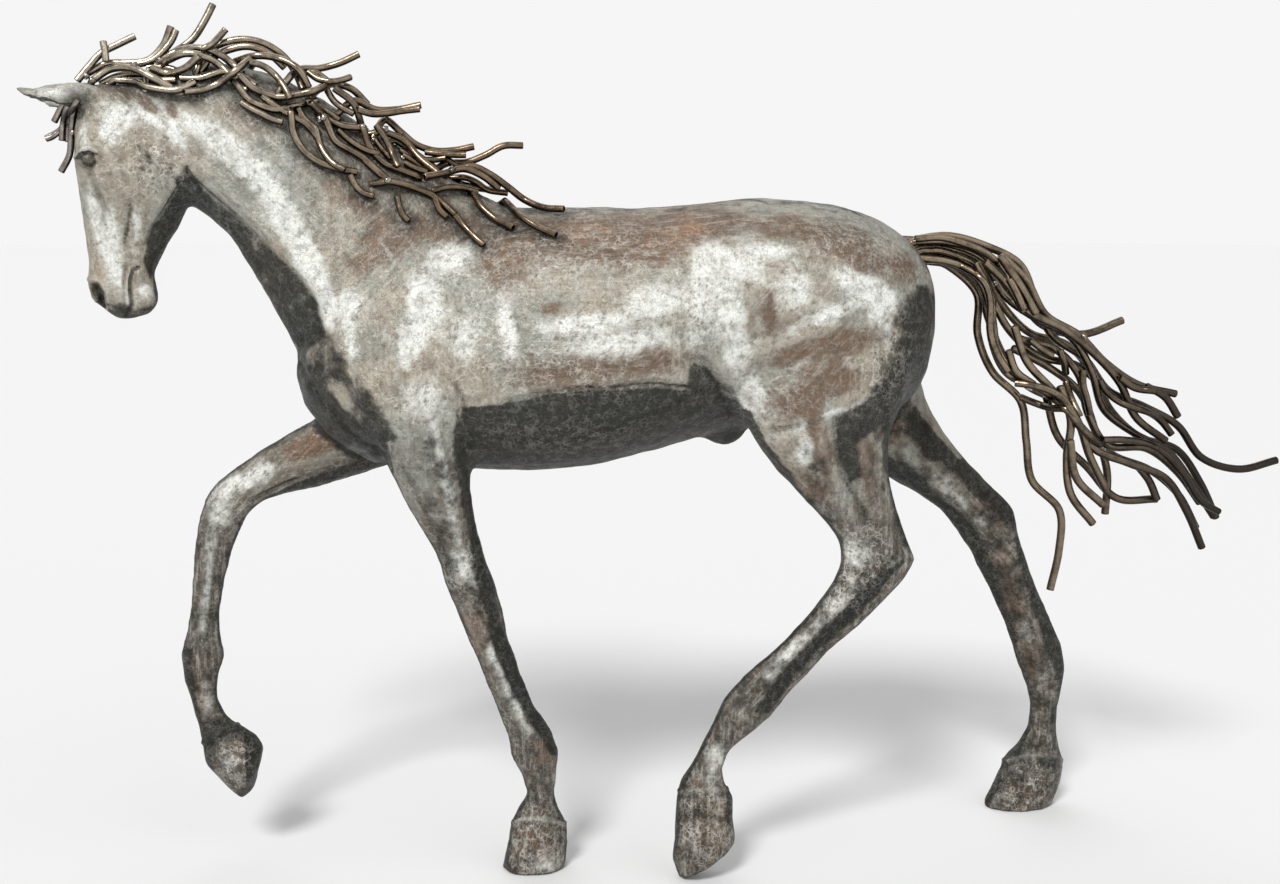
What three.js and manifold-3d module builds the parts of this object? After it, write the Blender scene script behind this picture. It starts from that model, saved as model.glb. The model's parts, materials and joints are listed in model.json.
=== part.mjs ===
// A life-size walking horse: a body of hammered sheet metal, welded and ground into one skin,
// with a forelock, a mane and a tail of bent steel rods. It stands on its near fore hoof, the toe
// of its near hind hoof and its off hind hoof, and lifts its off fore leg.
// Millimetres. The horse faces -X, its near (left) side is -Y, and +Z is up.
import * as THREE from "three";
import { mergeVertices } from "three/addons/utils/BufferGeometryUtils.js";
import Module from "manifold-3d";

const wasm = await Module();
wasm.setup();

// Driving sizes
const withersHeight = 1633;
const maneRodDiameter = 17;
const tailRodDiameter = 20;
const forelockRodDiameter = 15;
const rodClearance = 0.6; // air between a rod and what it rests on
const restGap = 0.5; // more air under a rod that lies along the body
const maneRodSpacing = 50; // length of one straight stretch of a rod
const tailRodSpacing = 96;
const rodSides = 6;

// The figure keeps its pose and proportions as shares of its height: `share` carries the sizes
// below, which are those at the height it was drawn at, to the height asked for.
const drawnWithersHeight = 1633;
const share = withersHeight / drawnWithersHeight;

// Faces around each form.
const sides = { trunk: 22, neck: 18, head: 16, foreLeg: 10, hindLeg: 12, ear: 8, sheath: 8 };
const eggFaces = { around: 8, down: 5 };

// The horse was drawn on a squared sheet, 1280 squares long and 884 high, as it looks from a little
// ahead of its near side, at eye height. A point of the sheet becomes a place on the horse once it
// is known how far to the side of the horse's middle plane it lies.
const viewer = {
  distance: 3800 * share,
  eyeHeight: 1700 * share,
  ahead: THREE.MathUtils.degToRad(8),
  bowed: THREE.MathUtils.degToRad(9.5),
  sheetDistance: 1577,
  sheetCentre: [640, 442],
};
const eye = new THREE.Vector3(
  -Math.sin(viewer.ahead) * viewer.distance,
  -Math.cos(viewer.ahead) * viewer.distance,
  viewer.eyeHeight,
);
const sight = new THREE.Vector3(
  Math.sin(viewer.ahead) * Math.cos(viewer.bowed),
  Math.cos(viewer.ahead) * Math.cos(viewer.bowed),
  -Math.sin(viewer.bowed),
);
const rightward = new THREE.Vector3(Math.cos(viewer.ahead), -Math.sin(viewer.ahead), 0);
const upward = new THREE.Vector3().crossVectors(rightward, sight);

function lineOfSight([u, v]) {
  return sight
    .clone()
    .addScaledVector(rightward, (u - viewer.sheetCentre[0]) / viewer.sheetDistance)
    .addScaledVector(upward, (viewer.sheetCentre[1] - v) / viewer.sheetDistance);
}

function drawn(point, side) {
  const line = lineOfSight(point);
  return eye.clone().addScaledVector(line, (side - eye.y) / line.y);
}

// Solids

const sameVertex = 1e-3;

function solidOf(geometry) {
  const bare = new THREE.BufferGeometry()
    .setAttribute("position", geometry.getAttribute("position"))
    .setIndex(geometry.index);
  const merged = mergeVertices(bare, sameVertex);
  const mesh = new wasm.Mesh({
    numProp: 3,
    vertProperties: merged.attributes.position.array,
    triVerts: new Uint32Array(merged.index.array),
  });
  return new wasm.Manifold(mesh);
}

function geometryOf(solid) {
  const { vertProperties, triVerts } = solid.getMesh();
  return new THREE.BufferGeometry()
    .setAttribute("position", new THREE.BufferAttribute(new Float32Array(vertProperties), 3))
    .setIndex(new THREE.BufferAttribute(new Uint32Array(triVerts), 1));
}

// One cross-section: `front` and `back` are its two ends as drawn, `half` its half width sideways,
// `wide` where along it the width lies, and the two fullness values its roundness at each end:
// 2 is an ellipse, less is sharper and more is squarer.
function crossSection(station, faces, swell) {
  const [front, back, side, half, wide = 0.5, fullFront = 2, fullBack = 2] = station;
  const a = drawn(front, side * share);
  const b = drawn(back, side * share);
  const middle = b.clone().lerp(a, wide);
  const length = a.distanceTo(b);
  const ring = [];
  for (let i = 0; i < faces; i++) {
    const angle = (2 * Math.PI * i) / faces;
    const along = Math.cos(angle);
    const across = Math.sin(angle);
    const full = along > 0 ? fullFront : fullBack;
    const bulge = Math.abs(along) ** (2 / full);
    const end = along > 0 ? a : b;
    const point = middle.clone().lerp(end, bulge * (1 + (2 * swell) / length));
    point.y += Math.sign(across) * Math.abs(across) ** (2 / full) * (half * share + swell);
    ring.push(point);
  }
  return ring;
}

// A closed skin through a row of rings, with a point in the middle of each flat end.
function skinThrough(rings) {
  const around = rings[0].length;
  const middles = [rings[0], rings.at(-1)].map((ring) =>
    ring.reduce((sum, point) => sum.add(point), new THREE.Vector3()).divideScalar(around),
  );
  const points = [...rings.flat(), ...middles];
  const triangles = [];
  const at = (ring, i) => ring * around + (i % around);
  const firstMiddle = rings.length * around;
  const lastMiddle = firstMiddle + 1;
  for (let i = 0; i < around; i++) {
    for (let ring = 0; ring + 1 < rings.length; ring++) {
      triangles.push(at(ring, i), at(ring, i + 1), at(ring + 1, i + 1));
      triangles.push(at(ring, i), at(ring + 1, i + 1), at(ring + 1, i));
    }
    triangles.push(firstMiddle, at(0, i + 1), at(0, i));
    triangles.push(lastMiddle, at(rings.length - 1, i), at(rings.length - 1, i + 1));
  }
  return new THREE.BufferGeometry().setFromPoints(points).setIndex(triangles);
}

// The solid inside a closed skin, whichever way round its faces were listed.
function outward(geometry) {
  const solid = solidOf(geometry);
  if (solid.volume() > 0) return solid;
  return solidOf(geometry.setIndex([...geometry.index.array].reverse()));
}

function loft(stations, faces, swell = 0) {
  return outward(skinThrough(stations.map((station) => crossSection(station, faces, swell))));
}

function join(solids) {
  return solids.reduce((sum, solid) => sum.add(solid));
}

// Body. Each row of stations runs along one form: where it starts and ends on the sheet, how far
// to the side its middle lies, its half width, and how full it is.

const trunk = [
  [[299, 348], [298, 378], 0, 60],
  [[318, 318], [306, 404], 0, 150],
  [[348, 280], [330, 436], 0, 205],
  [[385, 246], [372, 460], 0, 232, 0.45, 1.9, 2.2],
  [[430, 216], [425, 466], 0, 248, 0.42, 1.7, 2.3],
  [[480, 205], [480, 467], 0, 262, 0.42, 1.6, 2.3],
  [[535, 207], [535, 468], 0, 280, 0.42, 1.8, 2.2],
  [[590, 206], [590, 463], 0, 290, 0.45, 2.0, 2.1],
  [[640, 208], [640, 452], 0, 286, 0.48, 2.1, 2.0],
  [[690, 204], [692, 437], 0, 272, 0.5, 2.2, 2.0],
  [[740, 198], [745, 424], 0, 262, 0.55, 2.2, 2.0],
  [[790, 199], [800, 425], 0, 256, 0.58, 2.2, 2.2],
  [[838, 205], [845, 425], 0, 240, 0.58, 2.1, 2.4],
  [[880, 220], [884, 415], 0, 205, 0.55, 2.0, 2.4],
  [[908, 240], [908, 396], 0, 155, 0.5, 2.0, 2.2],
  [[925, 264], [921, 368], 0, 95],
  [[932, 290], [928, 335], 0, 30],
];

const neck = [
  [[520, 212], [322, 400], 0, 175, 0.5, 1.7, 2.2],
  [[466, 186], [299, 354], 0, 160, 0.42, 1.6, 2.2],
  [[418, 158], [284, 326], 0, 134, 0.42, 1.6, 2.2],
  [[370, 128], [266, 293], 0, 112, 0.45, 1.7, 2.1],
  [[324, 99], [249, 264], 0, 98, 0.48, 1.8, 2.1],
  [[280, 76], [232, 239], 0, 90, 0.5, 1.8, 2.1],
  [[238, 64], [215, 222], 0, 85, 0.5, 1.9, 2.1],
  [[198, 63], [200, 211], 0, 82, 0.5, 1.9, 2.0],
  [[158, 70], [191, 206], 0, 80, 0.5, 2, 2],
  [[120, 84], [180, 190], 0, 70],
];

const head = [
  [[112, 82], [168, 112], 0, 48],
  [[88, 86], [184, 142], 0, 74, 0.6, 2.2, 2],
  [[79, 106], [190, 174], 0, 92, 0.62, 2.4, 1.9],
  [[76, 132], [190, 200], 0, 104, 0.66, 2.6, 1.8],
  [[76, 160], [185, 217], 0, 100, 0.66, 2.5, 1.8],
  [[79, 186], [177, 231], 0, 82, 0.62, 2.4, 1.8],
  [[83, 213], [167, 246], 0, 66, 0.6, 2.4, 1.9],
  [[86, 238], [160, 261], 0, 56, 0.58, 2.3, 2],
  [[89, 260], [155, 273], 0, 51, 0.56, 2.2, 2],
  [[88, 281], [157, 287], 0, 53, 0.6, 2.3, 2.1],
  [[94, 299], [159, 300], 0, 50, 0.55, 2.3, 2.2],
  [[108, 311], [151, 313], 0, 36, 0.5, 2.2, 2.2],
  [[118, 319], [132, 318], 0, 14],
];

const nearFore = [
  [[392, 262], [424, 260], -75, 26],
  [[366, 300], [440, 298], -118, 58],
  [[342, 342], [456, 336], -156, 76],
  [[342, 385], [460, 378], -174, 80, 0.5, 2.2, 2],
  [[364, 425], [464, 415], -174, 80, 0.5, 2.2, 2],
  [[388, 468], [469, 455], -162, 70, 0.5, 2.1, 2],
  [[404, 502], [473, 492], -146, 58],
  [[424, 534], [477, 526], -130, 50],
  [[440, 565], [486, 558], -118, 45],
  [[446, 586], [496, 584], -108, 46, 0.55, 2.4, 2.2],
  [[456, 610], [502, 606], -100, 42, 0.5, 2.3, 2.2],
  [[469, 641], [508, 635], -92, 33],
  [[483, 675], [520, 670], -82, 29],
  [[497, 709], [533, 703], -72, 28],
  [[507, 736], [552, 730], -64, 33],
  [[512, 758], [559, 751], -58, 38],
  [[522, 776], [556, 776], -52, 34],
  [[527, 793], [554, 793], -48, 31],
  [[517, 810], [560, 810], -44, 43],
  [[510, 824], [568, 824], -42, 55],
  [[507, 842], [568, 842], -40, 60],
  [[501, 868], [566, 868], -40, 66],
  [[499, 886], [565, 886], -40, 68],
];

const offFore = [
  [[400, 290], [430, 330], 80, 40],
  [[368, 330], [440, 400], 130, 60],
  [[338, 378], [420, 455], 154, 68],
  [[316, 417], [372, 471], 165, 64],
  [[292, 431], [326, 485], 165, 56],
  [[262, 449], [290, 493], 165, 50],
  [[238, 466], [266, 500], 165, 46],
  [[218, 481], [252, 510], 165, 45, 0.5, 2.3, 2],
  [[205, 498], [244, 522], 165, 44, 0.5, 2.3, 2],
  [[199, 520], [236, 541], 165, 38],
  [[195, 545], [230, 558], 164, 33],
  [[192, 580], [225, 582], 162, 29],
  [[191, 608], [221, 608], 160, 28],
  [[187, 630], [220, 630], 158, 30],
  [[181, 652], [225, 655], 156, 37],
  [[184, 677], [218, 677], 154, 35],
  [[191, 697], [217, 697], 152, 31],
  [[197, 722], [225, 714], 150, 32],
  [[203, 745], [234, 722], 148, 42],
  [[206, 764], [246, 727], 146, 51],
  [[226, 785], [256, 734], 144, 56],
  [[249, 805], [264, 746], 142, 58],
];

const nearHind = [
  [[780, 250], [850, 236], -80, 60],
  [[745, 290], [886, 272], -112, 92],
  [[726, 335], [912, 316], -132, 110, 0.5, 2.2, 2],
  [[724, 372], [920, 352], -143, 116, 0.5, 2.2, 2],
  [[738, 408], [905, 395], -150, 112, 0.5, 2.2, 2],
  [[752, 440], [890, 432], -154, 98, 0.5, 2.1, 2],
  [[774, 468], [888, 463], -156, 80],
  [[800, 496], [893, 490], -158, 66],
  [[822, 519], [899, 513], -158, 54],
  [[839, 541], [906, 537], -158, 46, 0.5, 2.2, 2],
  [[841, 564], [917, 560], -158, 44, 0.55, 2.3, 1.8],
  [[833, 582], [901, 582], -158, 44, 0.55, 2.3, 1.9],
  [[820, 600], [880, 604], -156, 40],
  [[805, 619], [858, 626], -154, 35],
  [[784, 641], [829, 649], -152, 31],
  [[764, 658], [810, 672], -151, 30],
  [[745, 674], [791, 690], -150, 31],
  [[725, 697], [770, 717], -150, 37],
  [[715, 718], [752, 731], -150, 36],
  [[703, 742], [729, 749], -150, 32],
  [[692, 763], [722, 767], -150, 31],
  [[680, 781], [725, 782], -150, 42],
  [[676, 797], [734, 796], -150, 53],
  [[675, 820], [733, 818], -150, 56],
  [[672, 858], [735, 830], -150, 60],
  [[678, 878], [735, 840], -150, 58],
];

const offHind = [
  [[790, 256], [856, 244], 82, 60],
  [[776, 300], [892, 286], 116, 92],
  [[780, 345], [916, 330], 140, 108],
  [[800, 392], [920, 376], 154, 108],
  [[840, 440], [928, 405], 160, 94],
  [[880, 474], [946, 434], 164, 76],
  [[912, 490], [968, 462], 166, 62],
  [[938, 508], [992, 486], 168, 52],
  [[956, 530], [1014, 507], 170, 46, 0.5, 2.2, 1.9],
  [[969, 550], [1018, 534], 170, 44],
  [[981, 573], [1027, 563], 170, 39],
  [[992, 596], [1038, 590], 170, 35],
  [[1003, 619], [1049, 616], 170, 33],
  [[1011, 642], [1060, 641], 170, 34],
  [[1017, 663], [1065, 665], 170, 37],
  [[1026, 684], [1061, 687], 170, 34],
  [[1031, 705], [1057, 706], 170, 31],
  [[1028, 727], [1056, 727], 170, 32],
  [[1019, 743], [1058, 743], 170, 41],
  [[1005, 757], [1063, 762], 170, 52],
  [[995, 780], [1060, 782], 170, 56],
  [[984, 803], [1050, 804], 170, 60],
  [[978, 822], [1046, 824], 170, 63],
];

const sheath = [
  [[696, 424], [697, 434], 0, 14],
  [[712, 420], [710, 443], 0, 34],
  [[730, 416], [727, 448], 0, 40],
  [[748, 412], [745, 438], 0, 26],
];

const nearEar = [
  [[108, 90], [108, 114], -48, 16],
  [[88, 82], [88, 106], -58, 16],
  [[72, 82], [73, 108], -64, 20],
  [[57, 83], [58, 107], -67, 22],
  [[45, 85], [45, 103], -67, 19],
  [[33, 88.5], [33, 101.5], -66, 14],
  [[22, 87], [23, 95], -64, 8],
  [[12, 85.5], [13, 87.5], -62, 2],
];

const offEar = [
  [[108, 92], [108, 118], 42, 18],
  [[88, 84], [88, 109], 56, 17],
  [[72, 86], [72, 111], 68, 20],
  [[58, 88], [58, 111.5], 84, 22],
  [[49, 90], [48, 110], 98, 18],
  [[42, 92], [42, 105], 110, 12],
  [[36, 94], [36, 99], 120, 6],
  [[31, 95], [31, 96.5], 126, 2],
];

// The hollows of the ears open forward and down.
const nearEarHollow = [
  [[64, 102], [65, 118], -68, 9],
  [[50, 97], [51, 114], -70, 13],
  [[36, 95], [37, 109], -69, 10],
  [[24, 91], [26, 101], -66, 5],
];

const offEarHollow = [
  [[62, 104], [62, 120], 82, 9],
  [[52, 101], [52, 117], 95, 12],
  [[44, 99], [44, 111], 108, 8],
  [[38, 97], [38, 104], 118, 4],
];

// An egg shape around a point, with its half sizes along X, Y and Z.
function egg(middle, halfSizes) {
  const geometry = new THREE.SphereGeometry(1, eggFaces.around, eggFaces.down);
  geometry.deleteAttribute("normal").deleteAttribute("uv");
  geometry.scale(...halfSizes.map((size) => size * share));
  return solidOf(geometry.translate(...middle.toArray()));
}

// Everything on the far side of a flat face, which looks along `facing`.
function beyond(point, facing) {
  const size = 2 * withersHeight;
  const block = new THREE.BoxGeometry(size, size, size).translate(0, 0, size / 2);
  block.deleteAttribute("normal").deleteAttribute("uv");
  const turn = new THREE.Quaternion().setFromUnitVectors(new THREE.Vector3(0, 0, 1), facing);
  return solidOf(block.applyQuaternion(turn).translate(...point.toArray()));
}

// Where the line of sight through a point of the sheet meets a surface, or nothing.
const glance = new THREE.Raycaster();
function meets(surface, place) {
  glance.set(eye, lineOfSight(place).normalize());
  return glance.intersectObject(surface)[0]?.point;
}

// The features of the face are drawn on its near side and are alike on both. Each has its middle
// on the sheet, how far it stands out from the skin, and its half sizes.
const feature = {
  brow: { at: [91, 150], out: -2, size: [27, 14, 12] },
  socket: { at: [88, 159], out: 12, size: [27, 15, 19] },
  eyeball: { at: [88, 159], out: -1, size: [20, 13, 15] },
  nostrilRim: { at: [98, 293], out: -4, size: [20, 14, 32] },
  nostrilHole: { at: [100, 298], out: 8, size: [9, 17, 18] },
  dimple: { at: [127, 280], out: 8, size: [7, 14, 26] },
};

// The lips part along a groove that climbs from the bottom of the muzzle to its corner.
const lipLine = [
  [135, 308],
  [131, 298],
  [129, 287],
  [132, 276],
  [139, 268],
];
const lipGroove = { half: 7, out: 2 };

function facialRelief(face) {
  const skin = new THREE.Mesh(geometryOf(face));
  let carved = face;
  for (const side of [1, -1]) {
    const onSkin = (place, out) => {
      const point = meets(skin, place);
      return point.setY(side * (point.y - out * share));
    };
    const shape = ({ at, out, size }) => egg(onSkin(at, out), size);
    carved = carved.add(shape(feature.brow)).subtract(shape(feature.socket));
    carved = carved.add(shape(feature.eyeball)).add(shape(feature.nostrilRim));
    carved = carved.subtract(shape(feature.nostrilHole)).subtract(shape(feature.dimple));
    const line = lipLine.map((place) => onSkin(place, lipGroove.out));
    carved = carved.subtract(outward(rodGeometry({ points: line, radius: lipGroove.half * share })));
  }
  return carved;
}

// The sole of the raised hoof looks backward, down and a little to the near side.
const raisedSole = { middle: [258, 775], side: 142, facing: new THREE.Vector3(0.8, -0.3, -0.52) };

// The trunk, neck and head, grown all round by `swell`.
const spine = (swell) =>
  join([
    loft(trunk, sides.trunk, swell),
    loft(neck, sides.neck, swell),
    loft(head, sides.head, swell),
  ]);

function standingBody() {
  const face = facialRelief(spine(0));
  const legs = join([
    loft(nearFore, sides.foreLeg),
    loft(offFore, sides.foreLeg).subtract(
      beyond(drawn(raisedSole.middle, raisedSole.side * share), raisedSole.facing.normalize()),
    ),
    loft(nearHind, sides.hindLeg),
    loft(offHind, sides.hindLeg),
  ]);
  const ears = join([
    loft(nearEar, sides.ear).subtract(loft(nearEarHollow, sides.ear)),
    loft(offEar, sides.ear).subtract(loft(offEarHollow, sides.ear)),
  ]);
  const whole = join([face, legs, ears, loft(sheath, sides.sheath)]);
  return whole.subtract(beyond(new THREE.Vector3(), new THREE.Vector3(0, 0, -1)));
}

// Rods. Each is drawn as a few points on the sheet, from root to tip, after two numbers: how far to
// the side it would run if nothing were in its way, at its root and at its tip. A tail rod drawn
// 250 to the near side starts out in front of the others and leans back until it meets them.

const forelockRods = [
  [-24, -14, [82, 90], [69, 99], [62, 107], [54, 122]],
  [-6, -6, [82, 97], [69, 106], [64, 118], [62, 141]],
  [14, 12, [82, 102], [71, 110], [66, 124], [54, 135], [46, 138.5]],
  [-26, -26, [84, 101], [74, 114], [72.5, 128], [71, 148], [67, 163], [61, 172]],
];

const maneRods = [
  [15, 45, [146, 75], [160, 60], [176, 51], [188, 44], [197, 33], [205, 20], [213, 4]],
  [0, -10, [88, 73], [99, 65.5], [117, 62.5], [137, 63], [152, 58], [163, 46], [168, 36], [171, 26]],
  [-20, 10, [77, 81], [86, 70], [97, 57], [108, 48.5], [121, 43], [135, 36]],
  [-5, -5, [196, 68], [206, 53], [222, 43.5], [240, 39.5], [257, 41], [272, 48], [290, 63], [303, 90]],
  [-10, -15, [208, 60], [228, 50], [246, 46.5], [260, 49], [272, 56], [285, 68]],
  [0, -20, [158, 61], [176, 52], [195, 48], [213, 51], [230, 62], [246, 78]],
  [-10, -30, [92, 81], [103, 72], [120, 67.5], [138, 70], [155, 79], [172, 88]],
  [-10, -30, [236, 61], [252, 56], [270, 57], [286, 61], [299, 70], [309, 88]],
  [5, 25, [284, 84], [292, 72], [306, 69], [323, 68], [336, 64.5], [348, 59], [359, 54]],
  [-10, -40, [166, 61], [182, 54], [197, 54.5], [214, 61], [229, 74], [240, 89], [253, 103], [270, 110],
    [290, 109], [306, 103], [321, 99]],
  [-20, -20, [150, 68], [165, 73], [180, 71], [190, 64], [199, 56]],
  [-10, -10, [308, 98], [322, 86], [341, 84.5], [354, 91], [368, 105]],
  [-5, -15, [337, 114], [349, 101], [366, 105], [380, 111], [395, 110], [421, 105]],
  [0, 0, [374, 136], [384, 120], [396, 128], [410, 140], [425, 149], [449, 151], [474, 146.5]],
  [0, 10, [430, 173], [443, 164], [460, 163.5], [480, 158], [497, 148], [510, 145], [523, 145.5]],
  [-20, -20, [115, 80], [127, 79.5], [140, 83], [154, 89], [170, 91], [184, 88], [195, 82]],
  [-20, -20, [240, 75], [250, 86], [264, 93], [282, 97], [300, 95], [316, 90], [331, 84]],
  [-20, -20, [334, 88], [349, 98], [358, 112], [362, 127]],
  [-20, -20, [310, 102], [322, 115], [335, 123], [350, 127.5], [363, 127.5]],
  [-20, -20, [291, 113], [293, 131], [301, 147], [314, 159], [332, 167], [358, 172]],
  [-20, -20, [326, 120], [329, 132], [340, 145], [356, 154], [372, 161], [388, 180]],
  [-20, -20, [363, 127], [367, 142], [377, 156], [392, 168], [423, 178]],
  [-20, -20, [382, 131], [398, 137], [411, 147], [423, 162], [438, 173]],
  [-20, -20, [452, 170], [468, 166], [484, 171], [503, 183], [520, 197], [541, 207], [564, 209]],
  [-20, -20, [388, 181], [406, 185], [424, 191], [441, 201], [461, 219]],
  [-20, -20, [424, 177], [439, 175], [458, 169], [474, 171], [488, 180], [499, 189]],
  [-20, -20, [472, 190], [481, 206], [494, 218], [513, 228]],
  [-20, -20, [505, 201], [518, 214], [536, 226], [556, 235]],
  [-20, -20, [184, 92], [202, 90], [218, 84], [234, 72], [250, 59]],
];

// The off side of the neck isn't drawn, and carries fewer and plainer rods.
const offManeRods = [
  [-20, -20, [110, 78], [140, 79], [170, 92], [205, 90], [235, 76]],
  [-20, -20, [215, 66], [240, 82], [262, 101], [288, 108], [318, 101]],
  [-20, -20, [300, 92], [318, 115], [345, 138], [378, 150]],
  [-20, -20, [395, 140], [425, 160], [455, 182], [492, 190]],
];

const tailRods = [
  [34, 20, [908, 247], [935, 242], [962, 245], [988, 256], [1008, 275], [1020, 300], [1038, 322],
    [1062, 333], [1084, 334], [1105, 328], [1123, 320]],
  [34, 80, [908, 257], [935, 253], [962, 258], [982, 270], [996, 292], [1010, 318], [1032, 334],
    [1062, 342], [1085, 360], [1098, 385], [1112, 412], [1140, 437], [1170, 445], [1190, 465],
    [1205, 493], [1216, 518]],
  [34, 90, [908, 263], [938, 261], [962, 268], [978, 284], [986, 310], [995, 340], [1010, 365],
    [1030, 388], [1058, 402], [1078, 423], [1100, 447], [1130, 463], [1160, 475], [1182, 500],
    [1196, 528]],
  [12, 30, [908, 241], [928, 237], [950, 236], [975, 243], [1003, 252], [1021, 266], [1032, 286],
    [1038, 310], [1046, 330], [1066, 345], [1088, 362], [1103, 385], [1124, 402], [1150, 408],
    [1172, 420], [1190, 442], [1202, 458], [1225, 468], [1250, 468], [1277, 460]],
  [-250, -250, [990, 296], [1003, 318], [1020, 346], [1045, 358], [1070, 362], [1090, 375],
    [1118, 398], [1145, 408]],
  [-250, -250, [1000, 254], [1014, 264], [1027, 282], [1034, 303], [1050, 318], [1068, 325],
    [1083, 340], [1100, 357], [1122, 378], [1150, 388], [1176, 394]],
  [-250, -250, [1012, 348], [1030, 358], [1050, 368], [1072, 380], [1083, 400], [1092, 425],
    [1103, 447], [1107, 470], [1104, 495], [1105, 514]],
  [12, -10, [908, 260], [935, 263], [958, 270], [972, 284], [979, 305], [978, 345], [989, 368],
    [1012, 390], [1026, 412], [1027, 435], [1024, 458], [1033, 482], [1055, 503], [1064, 530],
    [1055, 562], [1050, 590]],
  [-250, -220, [1046, 396], [1049, 408], [1054, 430], [1070, 452], [1088, 468], [1103, 488], [1125, 502],
    [1148, 503], [1157, 499]],
  [-250, -250, [1136, 464], [1145, 475], [1152, 486], [1157, 500]],
  [-10, 20, [908, 250], [933, 247], [960, 251], [982, 262], [996, 281], [1010, 302], [1035, 318],
    [1065, 333], [1085, 352], [1093, 378], [1100, 403], [1118, 425], [1145, 438], [1168, 452],
    [1185, 472], [1200, 497], [1214, 517]],
  [-250, -220, [976, 262], [988, 280], [992, 300], [991, 335], [998, 358], [1012, 378],
    [1035, 387], [1060, 399], [1076, 420], [1085, 440], [1108, 458], [1140, 466], [1165, 478],
    [1186, 510], [1202, 548]],
  [-250, -230, [1014, 326], [1022, 340], [1024, 355], [1034, 373], [1050, 388], [1067, 404],
    [1085, 436], [1092, 465], [1106, 490]],
  [-250, -250, [1060, 386], [1067, 400], [1071, 425], [1070, 447], [1065, 466], [1068, 488],
    [1080, 508], [1093, 524]],
  [-250, -250, [1070, 440], [1072, 455], [1075, 475], [1087, 492], [1103, 505]],
  [-30, -20, [908, 244], [930, 241], [955, 243], [980, 252], [998, 268], [1008, 290], [1025, 309],
    [1052, 324], [1076, 337], [1098, 358], [1118, 380], [1128, 403], [1140, 422], [1166, 441]],
  [-30, 0, [908, 254], [935, 251], [960, 257], [980, 270], [991, 290], [998, 315], [1008, 333],
    [1030, 340], [1058, 350], [1075, 366], [1083, 392], [1090, 420], [1103, 443], [1125, 446],
    [1148, 449], [1168, 462], [1185, 482], [1200, 503]],
  [-30, -30, [908, 261], [935, 260], [958, 266], [978, 279], [988, 296], [992, 320], [998, 350],
    [1015, 380]],
  [-250, -250, [985, 262], [1001, 275], [1012, 292], [1024, 312]],
  [-250, -250, [1000, 256], [1014, 273], [1024, 296], [1036, 314]],
  [-250, -250, [1146, 386], [1160, 392], [1170, 404], [1178, 417]],
  [-250, -250, [1008, 350], [1011, 360], [1018, 374], [1034, 385]],
];

const squareSize = viewer.distance / viewer.sheetDistance; // one square at the middle plane

// The places of a rod's joints on the sheet: evenly spaced along the smooth curve through its points.
function joints(points, spacing) {
  const curve = new THREE.SplineCurve(points.map((point) => new THREE.Vector2(...point)));
  const count = Math.round((curve.getLength() * squareSize) / (spacing * share));
  return curve.getSpacedPoints(Math.max(2, count)).map((place) => place.toArray());
}

// How far along a line of sight the body lies, counted so that a nearer rod has a smaller number.
function depthOfBody(ground, place) {
  const point = meets(ground, place);
  return point ? point.sub(eye).dot(sight) : Infinity;
}

const onLine = (line, depth) => eye.clone().addScaledVector(line, depth);

// How far a point has to come towards the viewer to clear the rod between two points by `reach`.
function stepInFront(point, line, [start, end], reach) {
  const along = new THREE.Line3(start, end);
  const near = along.closestPointToPoint(point, true, new THREE.Vector3());
  const apart = point.clone().sub(near);
  if (apart.length() >= reach) return 0;
  const towards = line.clone().normalize();
  const ahead = -apart.dot(towards);
  const beside = Math.max(apart.lengthSq() - ahead * ahead, 0);
  return (Math.sqrt(reach * reach - beside) - ahead) / line.length();
}

// Lays one rod over those already laid. It rests on the body where it can and runs at its own
// distance to the side elsewhere. It leans back until it meets something, and wherever it would
// cut into the body or another rod it comes forward until it clears.
const sampleSpacing = 9;
const clearingPasses = 60;
const leanStep = 4;
const leanSteps = 100;
const settleStep = 0.5;
const settleRounds = 60;
const tolerance = 1e-6;

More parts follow.
